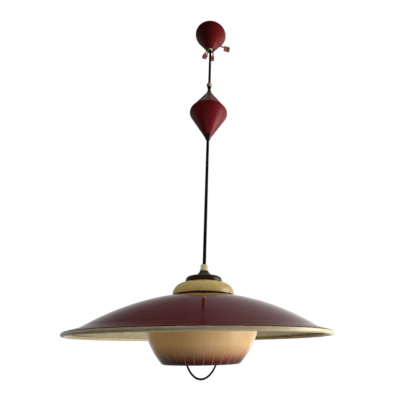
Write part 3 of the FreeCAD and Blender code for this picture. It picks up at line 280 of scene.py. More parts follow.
# a colour from its sRGB values, times a factor
def shade(red, green, blue, factor=1.0):
    def linear(value):
        value /= 255
        return value / 12.92 if value <= 0.04045 else ((value + 0.055) / 1.055) ** 2.4
    return (linear(red) * factor, linear(green) * factor, linear(blue) * factor, 1.0)


enamelLook = {"tone": (102, 20, 24), "dust": (150, 96, 84), "rough": (0.09, 0.13), "gloss": 0.3}
satinLook = {"tone": (130, 24, 29), "dust": (150, 96, 84), "rough": (0.34, 0.42), "gloss": 0.2}
brimRadius = (0.2025, 0.2045)  # where the shade's gloss falls off


# glossy stoved enamel with slow changes of tone and a little dust, duller on the shade's brim
def makeEnamel(name, tone, dust, rough, gloss):
    look = Shader(name)
    base = look.mix(look.spread(look.noise(14.0, 3.0), 0.0, 1.0), shade(*tone), shade(*tone, factor=0.86))
    specks = look.spread(look.noise(620.0, 2.0), 0.0, 0.05, 0.7, 0.82)
    look.set(Base_Color=look.mix(specks, base, shade(*dust)))
    look.set(Roughness=look.spread(look.noise(60.0, 3.0), rough[0], rough[1]))
    axes = look.put("ShaderNodeSeparateXYZ", {"Vector": look.place}).outputs
    across = look.maths("POWER", look.maths("ABSOLUTE", axes["X"]), 2.0)
    along = look.maths("POWER", look.maths("ABSOLUTE", axes["Y"]), 2.0)
    reach = look.maths("ADD", across, along)
    look.set(Specular_IOR_Level=look.spread(reach, gloss, 0.04, brimRadius[0] ** 2, brimRadius[1] ** 2))
    return look.bump(look.noise(240.0, 2.0), 0.06, 0.00002).material


creamLook = {"tone": (224, 212, 174), "stain": (200, 182, 134), "rough": (0.2, 0.3), "peel": 0.00004}
domeLook = {"tone": (198, 176, 110), "stain": (178, 152, 88), "rough": (0.24, 0.34), "peel": 0.00004}
mouldedLook = {"tone": (224, 208, 158), "stain": (200, 178, 122), "rough": (0.22, 0.32), "peel": 0.00002}
paleLook = {"tone": (214, 210, 198), "stain": (190, 184, 170), "rough": (0.35, 0.5), "peel": 0.00002}


def makeCream(name, tone, stain, rough, peel):
    look = Shader(name)
    base = look.mix(look.spread(look.noise(26.0, 4.0), 0.0, 0.45), shade(*tone), shade(*stain))
    specks = look.spread(look.noise(700.0, 2.0), 0.0, 0.2, 0.7, 0.82)
    look.set(Base_Color=look.mix(specks, base, shade(120, 96, 60)))
    look.set(Roughness=look.spread(look.noise(70.0), rough[0], rough[1]), Specular_IOR_Level=0.4)
    return look.bump(look.noise(260.0, 2.0), 0.06, peel).material


blackLook = {"tone": (22, 15, 9), "worn": (46, 32, 18), "rough": (0.24, 0.36), "gloss": 0.3}
brownLook = {"tone": (36, 27, 14), "worn": (56, 43, 23), "rough": (0.26, 0.38), "gloss": 0.22}
lacquerLook = {"tone": (9, 8, 7), "worn": (18, 15, 13), "rough": (0.3, 0.45), "gloss": 0.12}


def makeBlack(name, tone, worn, rough, gloss):
    look = Shader(name)
    look.set(Base_Color=look.mix(look.spread(look.noise(60.0, 3.0), 0.0, 0.6), shade(*tone), shade(*worn)))
    look.set(Roughness=look.spread(look.noise(90.0), rough[0], rough[1]), Specular_IOR_Level=gloss)
    return look.bump(look.noise(500.0, 2.0), 0.08, 0.00004).material


sheathLook = {"tone": (9, 8, 8), "chalk": (26, 24, 22), "rough": (0.5, 0.62)}


def makeSheath(name, tone, chalk, rough):
    look = Shader(name)
    drawn = look.noise(260.0, 3.0, stretch=(1, 1, 0.12))
    look.set(Base_Color=look.mix(look.spread(drawn, 0.0, 0.5, 0.45, 0.8), shade(*tone), shade(*chalk)))
    look.set(Roughness=look.spread(look.noise(300.0), rough[0], rough[1]), Specular_IOR_Level=0.12)
    return look.bump(look.noise(900.0, 2.0, stretch=(1, 1, 0.2)), 0.15, 0.00004).material


leadTones = {"blueCore": (18, 25, 54), "greyCore": (20, 20, 23), "greenCore": (18, 66, 24)}


def makeLead(name, tone):
    look = Shader(name)
    cloud = look.noise(400.0, 3.0)
    look.set(Base_Color=look.mix(look.spread(cloud, 0.0, 0.4), shade(*tone), shade(*tone, factor=0.7)))
    look.set(Roughness=look.spread(look.noise(700.0), 0.5, 0.65), Specular_IOR_Level=0.08)
    return look.bump(look.noise(1500.0, 2.0), 0.1, 0.00003).material


steelLook = {"tone": (178, 176, 170), "dull": (132, 130, 124), "rough": (0.28, 0.45)}
springLook = {"tone": (96, 100, 112), "dull": (60, 60, 66), "rough": (0.3, 0.5)}
brassLook = {"tone": (206, 172, 96), "dull": (150, 116, 58), "rough": (0.22, 0.4)}


def makeMetal(name, tone, dull, rough):
    look = Shader(name)
    lines = look.noise(700.0, 4.0, stretch=(1, 1, 0.06))
    look.set(Base_Color=look.mix(look.spread(lines, 0.0, 1.0), shade(*tone), shade(*dull)))
    look.set(Metallic=1.0, Roughness=look.spread(look.noise(260.0), rough[0], rough[1]))
    return look.bump(lines, 0.12, 0.00003).material


clearLook = {"tone": (226, 196, 184), "core": (156, 92, 74), "rough": (0.12, 0.22), "clear": 0.35}
# the clamps' dark maroon is painted shade of the connector's inside
clampShadeLook = {"tone": (92, 22, 20), "core": (52, 12, 11), "rough": (0.2, 0.3), "clear": 0.1}


# clear moulding with darker brown patches at random: partly the clamps seen through it, partly painted shade inside
# the body
def makeClear(name, tone, core, rough, clear):
    look = Shader(name)
    base = look.mix(look.spread(look.noise(260.0, 3.0), 0.0, 0.45, 0.4, 0.7), shade(*tone), shade(*core))
    look.set(Base_Color=base, Roughness=look.spread(look.noise(500.0), rough[0], rough[1]))
    look.set(Transmission_Weight=clear, IOR=1.46)
    return look.bump(look.noise(900.0, 2.0), 0.08, 0.00004).material


orangeLook = {"tone": (255, 142, 50), "deep": (240, 108, 24), "rough": (0.22, 0.34), "glow": 0.2}


# orange lever moulding; its emission is a painted glow that brightens the levers beyond the light that reaches them
def makeOrange(name, tone, deep, rough, glow):
    look = Shader(name)
    base = look.mix(look.spread(look.noise(180.0, 3.0), 0.0, 0.7), shade(*tone), shade(*deep))
    look.set(Base_Color=base, Roughness=look.spread(look.noise(500.0), rough[0], rough[1]))
    # painted glow: the levers give off a little of their own colour, though they are no lamp
    look.set(Emission_Color=base, Emission_Strength=glow, Specular_IOR_Level=0.3)
    return look.bump(look.noise(700.0, 2.0), 0.06, 0.00002).material


opalLook = {
    "tone": (226, 195, 148),
    "deep": (208, 171, 119),
    "spray": (141, 42, 19),
    "edge": (42, 10, 7),
    "etched": (240, 222, 190),
    "lines": 32,
    "turn": 2.5,  # degrees
    "lineWidth": 0.988,  # cosine at a line's edge
    "mouth": -0.8859,  # height of the open edge
    "fade": 0.03,
    "through": (255, 178, 92),
    "glow": 0.085,
}


# opal glass, sprayed red brown towards its open edge, with fine pale meridian lines;
# the faint glow stands for light that comes through from behind
def makeOpal(name, tone, deep, spray, edge, etched, lines, turn, lineWidth, mouth, fade, through, glow):
    look = Shader(name)
    axes = look.put("ShaderNodeSeparateXYZ", {"Vector": look.place}).outputs
    angle = look.maths("SUBTRACT", look.maths("ARCTAN2", axes["Y"], axes["X"]), math.radians(turn))
    wave = look.maths("COSINE", look.maths("MULTIPLY", angle, float(lines)))
    line = look.spread(wave, 0.0, 1.0, lineWidth, 0.998)
    base = look.mix(look.spread(look.noise(16.0, 3.0), 0.0, 0.6), shade(*tone), shade(*deep))
    rise = look.maths("ADD", axes["Z"], look.maths("MULTIPLY", look.noise(40.0, 3.0), 0.004))
    cloud = look.maths("POWER", look.spread(rise, 1.0, 0.0, mouth + 0.006, mouth + fade), 1.1)
    sprayed = look.mix(cloud, base, shade(*spray))
    rimmed = look.mix(look.spread(rise, 1.0, 0.0, mouth + 0.001, mouth + fade * 0.55), sprayed, shade(*edge))
    # high up, the pale lines stay strong only on the far left, where the glass lies in shade, and turn faint on the
    # lit side: their strength is painted to follow the light
    upper = look.spread(axes["X"], 0.45, 0.04, -0.075, -0.03)
    show = look.maths("MULTIPLY", line, look.spread(rise, 0.6, upper, mouth + 0.012, mouth + 0.03))
    look.set(Base_Color=look.mix(show, rimmed, shade(*etched)))
    look.set(Roughness=look.spread(look.noise(60.0), 0.12, 0.18), Specular_IOR_Level=0.22)
    look.set(Subsurface_Weight=0.12, Subsurface_Scale=0.003)
    look.set(Emission_Color=look.mix(cloud, shade(*through), shade(*edge)), Emission_Strength=glow)
    return look.bump(look.maths("SUBTRACT", look.noise(90.0, 2.0), line), 0.1, 0.0001).material


materials = {
    "burgundy": makeEnamel("burgundyEnamel", **enamelLook),
    "burgundySatin": makeEnamel("burgundySatin", **satinLook),
    "creamPaint": makeCream("creamEnamel", **creamLook),
    "domePaint": makeCream("domeEnamel", **domeLook),
    "creamPlastic": makeCream("creamPlastic", **mouldedLook),
    "pale": makeCream("paleMoulding", **paleLook),
    "black": makeBlack("blackMoulding", **blackLook),
    "brownBlack": makeBlack("brownMoulding", **brownLook),
    "blackWire": makeBlack("blackLacquer", **lacquerLook),
    "sheath": makeSheath("cordSheath", **sheathLook),
    "leadBlue": makeLead("blueCore", leadTones["blueCore"]),
    "leadGrey": makeLead("greyCore", leadTones["greyCore"]),
    "leadGreen": makeLead("greenCore", leadTones["greenCore"]),
    "steel": makeMetal("zincSteel", **steelLook),
    "spring": makeMetal("bluedSteel", **springLook),
    "brass": makeMetal("contactBrass", **brassLook),
    "clear": makeClear("clearMoulding", **clearLook),
    "smoky": makeClear("smokyMoulding", **clampShadeLook),
    "orange": makeOrange("orangeMoulding", **orangeLook),
    "opal": makeOpal("opalGlass", **opalLook),
}
slotMaterials = {
    "burgundy_paint": "burgundy", "cream_paint": "creamPaint", "cream_plastic": "creamPlastic",
    "black_plastic": "black", "drum_plastic": "pale", "clamp_plastic": "pale",
    "clear_plastic": "clear", "orange_plastic": "orange", "cord_sheath": "sheath",
    "lead_blue": "leadBlue", "lead_grey": "leadGrey", "lead_green": "leadGreen",
    "zinc_steel": "steel", "spring_steel": "spring", "contact_brass": "brass",
    "opal_glass": "opal", "black_wire": "blackWire",
}
for part in frame["record"]["subparts"]:
    node = frame["nodes"][part["node"]]
    node.data.materials.clear()
    node.data.materials.append(materials[slotMaterials[part["material_slot"]]])
print("materials made")


# turn a bmesh into an object at the origin, smooth except at its sharp edges
def finishMesh(name, mesh, looks, sharpAngle=35.0):
    bmesh.ops.recalc_face_normals(mesh, faces=mesh.faces)
    limit = math.radians(sharpAngle)
    for face in mesh.faces:
        face.smooth = True
    for edge in mesh.edges:
        edge.smooth = len(edge.link_faces) == 2 and edge.calc_face_angle(0) < limit
    data = bpy.data.meshes.new(name)
    mesh.to_mesh(data)
    mesh.free()
    for look in looks:
        data.materials.append(materials[look])
    piece = bpy.data.objects.new(name, data)
    bpy.context.collection.objects.link(piece)
    return piece


# ride on a body, take a finish slot and stand for CAD nodes
def settle(piece, body, slot, *nodes):
    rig.ride(piece, body)
    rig.slot(piece, slot)
    if nodes:
        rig.replaces(piece, *nodes)
    return piece


# points of an arc in the half section, angles in degrees from the outward direction
def arc(x, z, radius, first, last, count):
    points = []
    for step in range(count + 1):
        turn = math.radians(first + (last - first) * step / count)
        points.append((x + radius * math.cos(turn), z + radius * math.sin(turn)))
    return points


# a ring of faces from a closed half section of (radius, height) in mm
def spun(outline, turns=128, edging=0.0, sharp=28.0):
    mesh = bmesh.new()
    verts = [mesh.verts.new((radius * mm, 0, height * mm)) for radius, height in outline]
    edges = [mesh.edges.new((verts[i - 1], verts[i])) for i in range(len(verts))]
    bmesh.ops.spin(mesh, geom=verts + edges, cent=(0, 0, 0), axis=(0, 0, 1), angle=2 * math.pi,
                   steps=turns, use_merge=True)
    bmesh.ops.remove_doubles(mesh, verts=mesh.verts, dist=0.000001)
    bmesh.ops.recalc_face_normals(mesh, faces=mesh.faces)
    if edging:
        corners = [edge for edge in mesh.edges
                   if len(edge.link_faces) == 2 and edge.calc_face_angle(0) > math.radians(sharp)]
        bmesh.ops.bevel(mesh, geom=corners, offset=edging * mm, segments=2, profile=0.5,
                        affect="EDGES", material=-1)
    return mesh


# a turned piece; paint gives a face's material number
def lathed(name, outline, looks, body, slot, nodes, turns=128, edging=0.0, paint=None):
    mesh = spun(outline, turns, edging)
    if paint:
        for face in mesh.faces:
            face.material_index = paint(face)
    return settle(finishMesh(name, mesh, looks), body, slot, *nodes)


# a box with rounded edges, in mm
def boxMesh(size, centre=(0, 0, 0), edging=0.4, segments=3):
    mesh = bmesh.new()
    bmesh.ops.create_cube(mesh, size=1.0)
    bmesh.ops.scale(mesh, vec=Vector(size) * mm, verts=mesh.verts)
    bmesh.ops.bevel(mesh, geom=mesh.edges[:], offset=edging * mm, segments=segments, profile=0.5,
                    affect="EDGES", material=-1)
    bmesh.ops.translate(mesh, vec=Vector(centre) * mm, verts=mesh.verts)
    return mesh


# one bmesh that holds several
def joined(meshes):
    whole = bmesh.new()
    for mesh in meshes:
        data = bpy.data.meshes.new("joining")
        mesh.to_mesh(data)
        mesh.free()
        whole.from_mesh(data)
        bpy.data.meshes.remove(data)
    return whole


# a closed tube round the points of a path, in metres
def tubeMesh(path, radius, sides=20):
    points = [Vector(point) for point in path]
    mesh = bmesh.new()
    rings = []
    along = (points[1] - points[0]).normalized()
    across = along.orthogonal().normalized()
    for index, point in enumerate(points):
        before = points[max(index - 1, 0)]
        after = points[min(index + 1, len(points) - 1)]
        way = (after - before).normalized()
        across = (across - way * across.dot(way)).normalized()
        other = way.cross(across)
        ring = []
        for side in range(sides):
            turn = 2 * math.pi * side / sides
            ring.append(mesh.verts.new(point + (across * math.cos(turn) + other * math.sin(turn)) * radius))
        rings.append(ring)
    for near, far in zip(rings, rings[1:]):
        for side in range(sides):
            after = (side + 1) % sides
            mesh.faces.new((near[side], near[after], far[after], far[side]))
    mesh.faces.new(list(reversed(rings[0])))
    mesh.faces.new(rings[-1])
    return mesh


# a smooth curve that the given points control, in metres
def routeCurve(name, points, radius=0.0, resolution=10):
    data = bpy.data.curves.new(name, "CURVE")
    data.dimensions = "3D"
    data.bevel_depth = radius
    data.bevel_resolution = 6
    data.resolution_u = resolution
    data.use_fill_caps = True
    spline = data.splines.new("NURBS")
    spline.points.add(len(points) - 1)
    for spot, point in zip(spline.points, points):
        spot.co = (*point, 1.0)
    spline.use_endpoint_u = True
    spline.order_u = 3
    piece = bpy.data.objects.new(name, data)
    bpy.context.collection.objects.link(piece)
    return piece


# the line that a route's curve follows
def routePoints(points, resolution=12):
    guide = routeCurve("guide", points, 0.0, resolution)
    bpy.context.view_layer.update()
    line = bpy.data.meshes.new_from_object(guide)
    path = [vert.co.copy() for vert in line.vertices]
    bpy.data.objects.remove(guide)
    bpy.data.meshes.remove(line)
    return path


def inMetres(points):
    return [tuple(value * mm for value in point) for point in points]


cordSizes = {
    "diameter": 7.0,  # as drawn, half a millimetre over the solids' cord
    "bore": 3.55,  # radius of the holes that it runs through
    "upperTop": -23.0,
    "upperEnd": -278.8,
    "nozzleTip": -400.0,
    "glandTop": -715.4,
}
cordRadius = cordSizes["diameter"] / 2 * mm
tubeHole = 5.1  # radius of the holes for the threaded tubes


# a taut cord along points in mm
def laidCord(name, points, body, node, length):
    route = inMetres(points)
    cord = routeCurve(name, route, cordRadius)
    cord.data.materials.append(materials["sheath"])
    settle(cord, body, "cord_sheath", node)
    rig.cord(cord, exit=route[0], length=length, diameter=0.0065, far_end="object",
            stiffness="medium", lay="taut")


upperPoints = [(0, 0, cordSizes["upperTop"]), (0, 0, -60), (0, 0, -240), (0, 0, cordSizes["upperEnd"])]
laidCord("upperCord", upperPoints, "suspension", "upper_cord", 0.2558)

lowerRoute = inMetres([
    (0, 0, cordSizes["nozzleTip"]), (0, 0, -440), (0, 0, -676), (0, 0, cordSizes["glandTop"])])
lowerPath = routePoints(lowerRoute, 16)
lowerCord = finishMesh("lowerCord", tubeMesh(lowerPath, cordRadius, 28), ["sheath"])
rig.blend(lowerCord, "suspension", "lamp_head", start=lowerRoute[0], end=lowerRoute[-1])
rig.slot(lowerCord, "cord_sheath")
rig.replaces(lowerCord, "lower_cord")
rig.cord(lowerCord, exit=lowerRoute[0], length=0.3154, diameter=0.0065, far_end="object",
        stiffness="medium", lay="taut", path=lowerPath)

leadDiameter = 3.8  # as drawn
leadRoutes = {
    "lead_blue": {
        "look": "leadBlue", "slot": "lead_blue", "connector": "connector_left", "length": 0.0966,
        "points": [
            (-1.3, -1.5, -22.9), (-1.6, -1.2, -18.0), (-5.0, 4.6, -8.5), (-6.6, 16.5, 3.4),
            (-9.0, 30.5, 16.2), (-10.2, 38.0, 22.9), (-11.0, 43.5, 27.2), (-12.3, 48.5, 28.1),
            (-13.4, 53.2, 26.0), (-14.2, 56.0, 21.8), (-17.8, 56.0, 10.19)],
    },
    "lead_grey_left": {
        "look": "leadGrey", "slot": "lead_grey", "connector": "connector_left", "length": 0.0961,
        "points": [
            (-1.3, 1.4, -22.93), (-1.4, 1.7, -18.0), (-1.6, 6.6, -9.0), (-2.9, 17.0, 2.6),
            (-3.9, 30.5, 15.8), (-4.7, 38.0, 22.5), (-5.2, 43.6, 27.2), (-5.8, 48.6, 28.1),
            (-6.3, 53.2, 26.0), (-6.7, 56.0, 21.8), (-10.91, 56.0, 8.09)],
    },
    "lead_grey_middle": {
        "look": "leadGrey", "slot": "lead_grey", "connector": "connector_middle", "length": 0.1027,
        "points": [
            (1.3, 1.4, -22.93), (1.4, 1.7, -18.0), (1.5, 6.6, -9.0), (3.6, 17.0, 2.6),
            (5.6, 30.5, 15.8), (6.9, 38.0, 22.5), (7.7, 43.6, 27.2), (8.3, 48.6, 28.1),
            (8.6, 53.4, 26.0), (8.8, 56.2, 21.8), (9.8, 56.3, 9.2), (9.8, 56.3, 1.28)],
    },
    "lead_green": {
        "look": "leadGreen", "slot": "lead_green", "connector": "connector_right", "length": 0.0849,
        "points": [
            (1.3, -1.5, -22.93), (1.5, -1.2, -18.0), (4.9, 4.5, -8.6), (11.6, 13.0, 2.2),
            (20.2, 22.6, 14.2), (26.2, 29.3, 21.9), (30.6, 34.1, 26.3), (34.6, 36.3, 28.0),
            (39.2, 37.5, 27.6), (45.34, 37.5, 25.21)],
    },
}
leads = {}
for node, facts in leadRoutes.items():
    name = facts["look"] + node.rsplit("_", 1)[1].title()
    lead = routeCurve(name, inMetres(facts["points"]), leadDiameter / 2 * mm)
    lead.data.materials.append(materials[facts["look"]])
    settle(lead, "suspension", facts["slot"], node)
    leads[node] = lead
print("cords laid")

cupSizes = {"rim": 25.0, "tip": -46.0, "rimRadius": 48.0, "tipRadius": 12.0, "wall": 1.0, "lip": 1.2}


def cupOutline(size):
    across = size["wall"] * 1.12
    rimOut = (size["rimRadius"], size["rim"] - size["lip"])
    return [
        (size["tipRadius"] - across, size["tip"]), (size["tipRadius"], size["tip"]),
        rimOut, (size["rimRadius"], size["rim"]), (size["rimRadius"] - across, size["rim"]),
        (size["rimRadius"] - across, size["rim"] - size["lip"])]


lathed("ceilingCup", cupOutline(cupSizes), ["burgundySatin"], "ceiling_cup", "burgundy_paint",
       ["ceiling_cup"], 160, 0.3)

gripSizes = {"radius": 7.6, "centre": -42.8, "bore": cordSizes["bore"], "screwRadius": 1.5}
insertSizes = {"top": -34.0, "topRadius": 16.97, "tipRadius": 10.78, "gap": 0.1}


# a plug in the tip of the cup, with a hollow seat for the ball
def insertOutline(size, grip):
    seat = grip["radius"] + size["gap"]
    first = math.degrees(math.acos(grip["bore"] / seat))
    last = math.degrees(math.asin((cupSizes["tip"] - grip["centre"]) / seat))
    hollow = arc(0, grip["centre"], seat, first, last, 14)
    return hollow + [
        (size["tipRadius"], cupSizes["tip"]), (size["topRadius"], size["top"]), (grip["bore"], size["top"])]


lathed("cupInsert", insertOutline(insertSizes, gripSizes), ["black"], "ceiling_cup", "black_plastic",
       ["cup_insert"], 72, 0.25)


def gripBallMesh(size):
    edge = math.degrees(math.acos(size["bore"] / size["radius"]))
    outline = arc(0, size["centre"], size["radius"], edge, -edge, 30)
    return spun(outline, 64, 0.25, 40.0)


settle(finishMesh("gripBall", gripBallMesh(gripSizes), ["creamPlastic"]), "ceiling_cup",
       "cream_plastic", "cup_grip")


# a slotted grub screw just proud of the ball, pointing to the front left
def gripScrewMesh(size):
    head = bmesh.new()
    bmesh.ops.create_cone(head, cap_ends=True, segments=32, radius1=size["screwRadius"] * mm,
                          radius2=size["screwRadius"] * mm, depth=4.0 * mm)
    bmesh.ops.bevel(head, geom=[e for e in head.edges if e.calc_face_angle(0) > 1.0],
                    offset=0.25 * mm, segments=2, profile=0.5, affect="EDGES", material=-1)
    # the slot is a thin black bar over the head's top: painted shade in the slot
    slotShade = boxMesh((2.6, 0.5, 0.5), (0, 0, 2.0), 0.1, 1)
    for face in slotShade.faces:
        face.material_index = 1
    whole = joined([head, slotShade])
    way = Vector((-0.755, -0.656, 0)).normalized()
    turn = Vector((0, 0, 1)).rotation_difference(way).to_matrix().to_4x4()
    spot = Vector((0, 0, (size["centre"] - 1.6) * mm)) + way * 5.2 * mm
    bmesh.ops.transform(whole, matrix=Matrix.Translation(spot) @ turn, verts=whole.verts)
    return whole


settle(finishMesh("gripScrew", gripScrewMesh(gripSizes), ["steel", "black"]), "ceiling_cup",
       "zinc_steel", "grip_screw")

connectorSizes = {
    "body": (14.4, 8.0, 20.0), "lever": (6.6, 8.0, 11.4), "clamp": (5.9, 8.3, 5.0), "shift": 3.6,
}


# place a connector by its centre in mm and the ways of its own z and x
def leaning(centre, ownZ, ownX):
    ownZ = Vector(ownZ).normalized()
    ownX = Vector(ownX)
    ownY = ownZ.cross(ownX)
    turn = Matrix((ownX, ownY, ownZ)).transposed().to_4x4()
    return Matrix.Translation(Vector(centre) * mm) @ turn


connectorPlaces = {
    "connector_left": Matrix.Translation(Vector((-17.3, 56.0, -0.5)) * mm)
    @ Matrix.Rotation(math.radians(17.0), 4, "Y"),
    "connector_middle": Matrix.Translation(Vector((6.2, 56.3, -8.8)) * mm),
    "connector_right": leaning((54.9, 41.1, 22.0), (-0.948, 0, 0.318), (0, 1, 0)),
}


# the clear shell: a closed contact end and thin walls round the two levers
def connectorMesh(size):
    width, depth, height = size["body"]
    walls = [boxMesh((width, depth, height * 0.46), (0, 0, -height * 0.27), 0.9)]
    walls.append(boxMesh((width, 1.0, height * 0.54), (0, depth / 2 - 0.5, height * 0.23), 0.3, 2))
    for side in (-1, 1):
        spot = (side * (width / 2 - 0.35), 0, height * 0.17)
        walls.append(boxMesh((0.7, depth, height * 0.42), spot, 0.2, 2))
    walls.append(boxMesh((1.2, depth - 1.6, height * 0.48), (0, 0.4, height * 0.2), 0.2, 2))
    return joined(walls)


# dark maroon boxes behind the clear shell, under the levers: the clamps, coloured with the painted shade that fills
# the body's inside
def clampMesh(size):
    return joined([boxMesh(size["clamp"], (side * size["shift"], 0, -3.9), 0.4, 2) for side in (-1, 1)])


# two orange levers with ridged finger tabs; a raised one stands up from its slot
def leverMesh(size, raised):
    width, depth, height = size["lever"]
    bodyDepth, bodyHeight = size["body"][1], size["body"][2]
    parts = []
    for side in (-1, 1):
        x = side * size["shift"]
        parts.append(boxMesh((width, depth, height), (x, -0.1, bodyHeight / 2 - height / 2), 0.7))
        parts.append(boxMesh((width, 1.8, 5.4), (x, -bodyDepth / 2 + 0.6, bodyHeight / 2 - 2.9), 0.5))
        for step in range(3):
            ridge = (x, -bodyDepth / 2 - 0.35, bodyHeight / 2 - 1.2 - step)
            parts.append(boxMesh((width - 1.2, 0.4, 0.4), ridge, 0.1, 1))
    if raised:
        parts.append(boxMesh((width, 10.0, 2.0), (size["shift"], -bodyDepth / 2 - 5.0, -6.0), 0.5))
    return joined(parts)


# one part of a connector, turned into its place
def connectorPart(node, part, mesh, look, slotName, *replaced):
    bmesh.ops.transform(mesh, matrix=connectorPlaces[node], verts=mesh.verts)
    piece = finishMesh(node.replace("_", "") + part, mesh, [look])
    return settle(piece, "suspension", slotName, *replaced)


connectorPieces = {}
for node in connectorPlaces:
    levers = leverMesh(connectorSizes, node == "connector_right")
    connectorPieces[node] = [
        connectorPart(node, "Shell", connectorMesh(connectorSizes), "clear", "clear_plastic", node),
        connectorPart(node, "Clamps", clampMesh(connectorSizes), "smoky", "clear_plastic"),
        connectorPart(node, "Levers", levers, "orange", "orange_plastic", "connector_levers"),
    ]

for node, lead in leads.items():
    facts = leadRoutes[node]
    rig.cord(lead, exit=inMetres(facts["points"])[0], length=facts["length"], diameter=leadDiameter * mm,
            far_end="connector", stiffness="medium", lay="loose",
            with_pieces=connectorPieces[facts["connector"]])
print("cup and connectors made")

beadSizes = {"centre": -204.3, "radius": 7.9, "half": 6.6}


def beadOutline(size):
    centre, half, bore = size["centre"], size["half"], cordSizes["bore"]
    edge = math.degrees(math.asin(half / size["radius"]))
    ball = arc(0, centre, size["radius"], -edge, edge, 26)
    return [(bore, centre - half)] + ball + [(bore, centre + half)]


lathed("reelBead", beadOutline(beadSizes), ["creamPlastic"], "suspension", "cream_plastic",
       ["reel_bead"], 72, 0.2)

shellSizes = {
    "top": -234.8, "equator": -312.8, "radius": 49.5, "topRadius": 6.4, "wall": 1.14, "seat": 1.1, "lap": 1.4,
}
nozzleSizes = {"top": -381.7, "seam": -387.9, "tip": -400.0, "radius": 9.8, "core": 9.6, "tipRadius": 4.6}
nippleSizes = {"top": -211.0, "collar": 5.5, "waist": 4.4}


# a black sleeve that narrows to a waist and flares to the reel
def nippleOutline(size):
    top, base, bore, skirt = size["top"], shellSizes["top"], cordSizes["bore"], shellSizes["topRadius"]
    return [
        (bore, top), (bore, base + 6.0), (tubeHole, base + 6.0), (tubeHole, base), (skirt, base),
        (skirt, base + 3.0), (5.7, base + 6.0), (4.9, base + 9.0), (size["waist"], base + 12.0),
        (4.5, top - 8.4), (4.9, top - 5.0), (size["collar"], top - 2.6), (size["collar"], top)]


lathed("reelNipple", nippleOutline(nippleSizes), ["black"], "suspension", "black_plastic",
       ["reel_nipple"], 64, 0.25)


def upperShellOutline(size):
    top, equator, wall = size["top"], size["equator"], size["wall"]
    edge = size["radius"] - size["seat"]
    slope = (size["radius"] - size["topRadius"]) / (top - equator)
    rise = size["seat"] / slope
    return [
        (tubeHole, top), (size["topRadius"], top), (edge, equator + rise), (edge, equator + 0.1),
        (edge - wall, equator + 0.1), (edge - wall, equator + rise), (size["topRadius"], top - 1.9),
        (tubeHole, top - 1.9)]


lathed("reelUpperShell", upperShellOutline(shellSizes), ["burgundySatin"], "suspension", "burgundy_paint",
       ["reel_upper_shell"], 160, 0.25)


def lowerShellOutline(size, nozzle):
    radius, equator, lap = size["radius"], size["equator"], size["lap"]
    low, seam = nozzle["top"], nozzle["seam"]
    inner = radius - 1.93
    return [
        (radius, equator + lap), (radius, equator), (nozzle["radius"], seam),
        (nozzle["radius"] - 1.1, seam + 0.5), (12.6, low + 0.4), (9.7, low + 0.4), (9.7, low + 1.2),
        (12.6, low + 1.2), (inner, equator - 1.5), (inner, equator), (radius - 1.0, equator),
        (radius - 1.0, equator + lap)]


# bare steel on the edge of the lap, burgundy elsewhere
def lowerShellPaint(face):
    centre = face.calc_center_median() / mm
    outside = math.hypot(centre.x, centre.y) > shellSizes["radius"] - 1.2
    return 1 if outside and centre.z > shellSizes["equator"] + shellSizes["lap"] / 2 else 0


lathed("reelLowerShell", lowerShellOutline(shellSizes, nozzleSizes), ["burgundySatin", "steel"],
       "suspension", "burgundy_paint", ["reel_lower_shell"], 160, 0.25, lowerShellPaint)


def nozzleOutline(size):
    tip, top, seam, core, bore = size["tip"], size["top"], size["seam"], size["core"], cordSizes["bore"]
    return [
        (bore, tip), (size["tipRadius"], tip), (size["tipRadius"] + 0.8, tip + 0.9),
        (size["radius"] - 0.9, seam - 2.0), (size["radius"] - 0.1, seam - 0.15),
        (size["radius"] - 1.2, seam - 0.1), (core - 0.2, top), (core, top + 0.3), (core, top + 8.0),
        (core - 3.2, top + 8.0), (5.2, top + 4.6), (4.2, top + 0.6), (3.65, top - 3.6), (bore, top - 6.0)]


lathed("reelNozzle", nozzleOutline(nozzleSizes), ["black"], "suspension", "black_plastic",
       ["reel_nozzle"], 96, 0.25)

windingSizes = {
    "x": 12.5, "radius": 13.3, "layerStep": 4.3, "pitch": 6.2225, "thick": 6.0, "turns": 3, "layers": 2,
}


# turns side by side in layers, wound there and back across the drum
def windingPoints(size):
    points = []
    steps = 16
    for layer in range(size["layers"]):
        radius = size["radius"] + layer * size["layerStep"]
        way = 1 if layer % 2 == 0 else -1
        for step in range(size["turns"] * steps - (steps if layer else 0) + 1):
            turn = 2 * math.pi * (step + layer * size["turns"] * steps) / steps
            x = size["x"] + radius * math.cos(turn)
            y = way * size["pitch"] * (step / steps - 1)
            points.append((x, y, shellSizes["equator"] + radius * math.sin(turn)))
    return points


windingPath = routePoints(inMetres(windingPoints(windingSizes)), 3)
winding = finishMesh("cordWinding", tubeMesh(windingPath, windingSizes["thick"] / 2 * mm, 12), ["sheath"])
settle(winding, "reel_drum", "cord_sheath", "cord_winding")

reelPoints = [(-11.65, 0, -318.23), (-1.4, 0, -371.0), (0, 0, -377.7), (0, 0, cordSizes["nozzleTip"])]
laidCord("reelCord", reelPoints, "suspension", "reel_cord", 0.0835)
print("reel made")

glandSizes = {"top": -716.0, "low": -728.7, "foot": 8.3, "neck": 6.6, "inside": 4.3}


def glandOutline(size):
    low, high, foot, bore = size["low"], size["top"], size["foot"], cordSizes["bore"]
    return [
        (tubeHole, low), (foot, low), (foot, low + 1.0), (foot - 0.4, low + 3.2), (7.1, high - 4.6),
        (size["neck"], high - 3.0), (6.9, high - 2.2), (6.8, high - 0.8), (6.2, high), (bore, high),
        (bore, high - 2.4), (size["inside"], high - 2.4), (size["inside"], low + 3.2), (tubeHole, low + 3.2)]


lathed("cordGland", glandOutline(glandSizes), ["creamPlastic"], "lamp_head", "cream_plastic",
       ["cord_gland"], 64, 0.2)

capSizes = {"low": -753.3, "radius": 35.6}


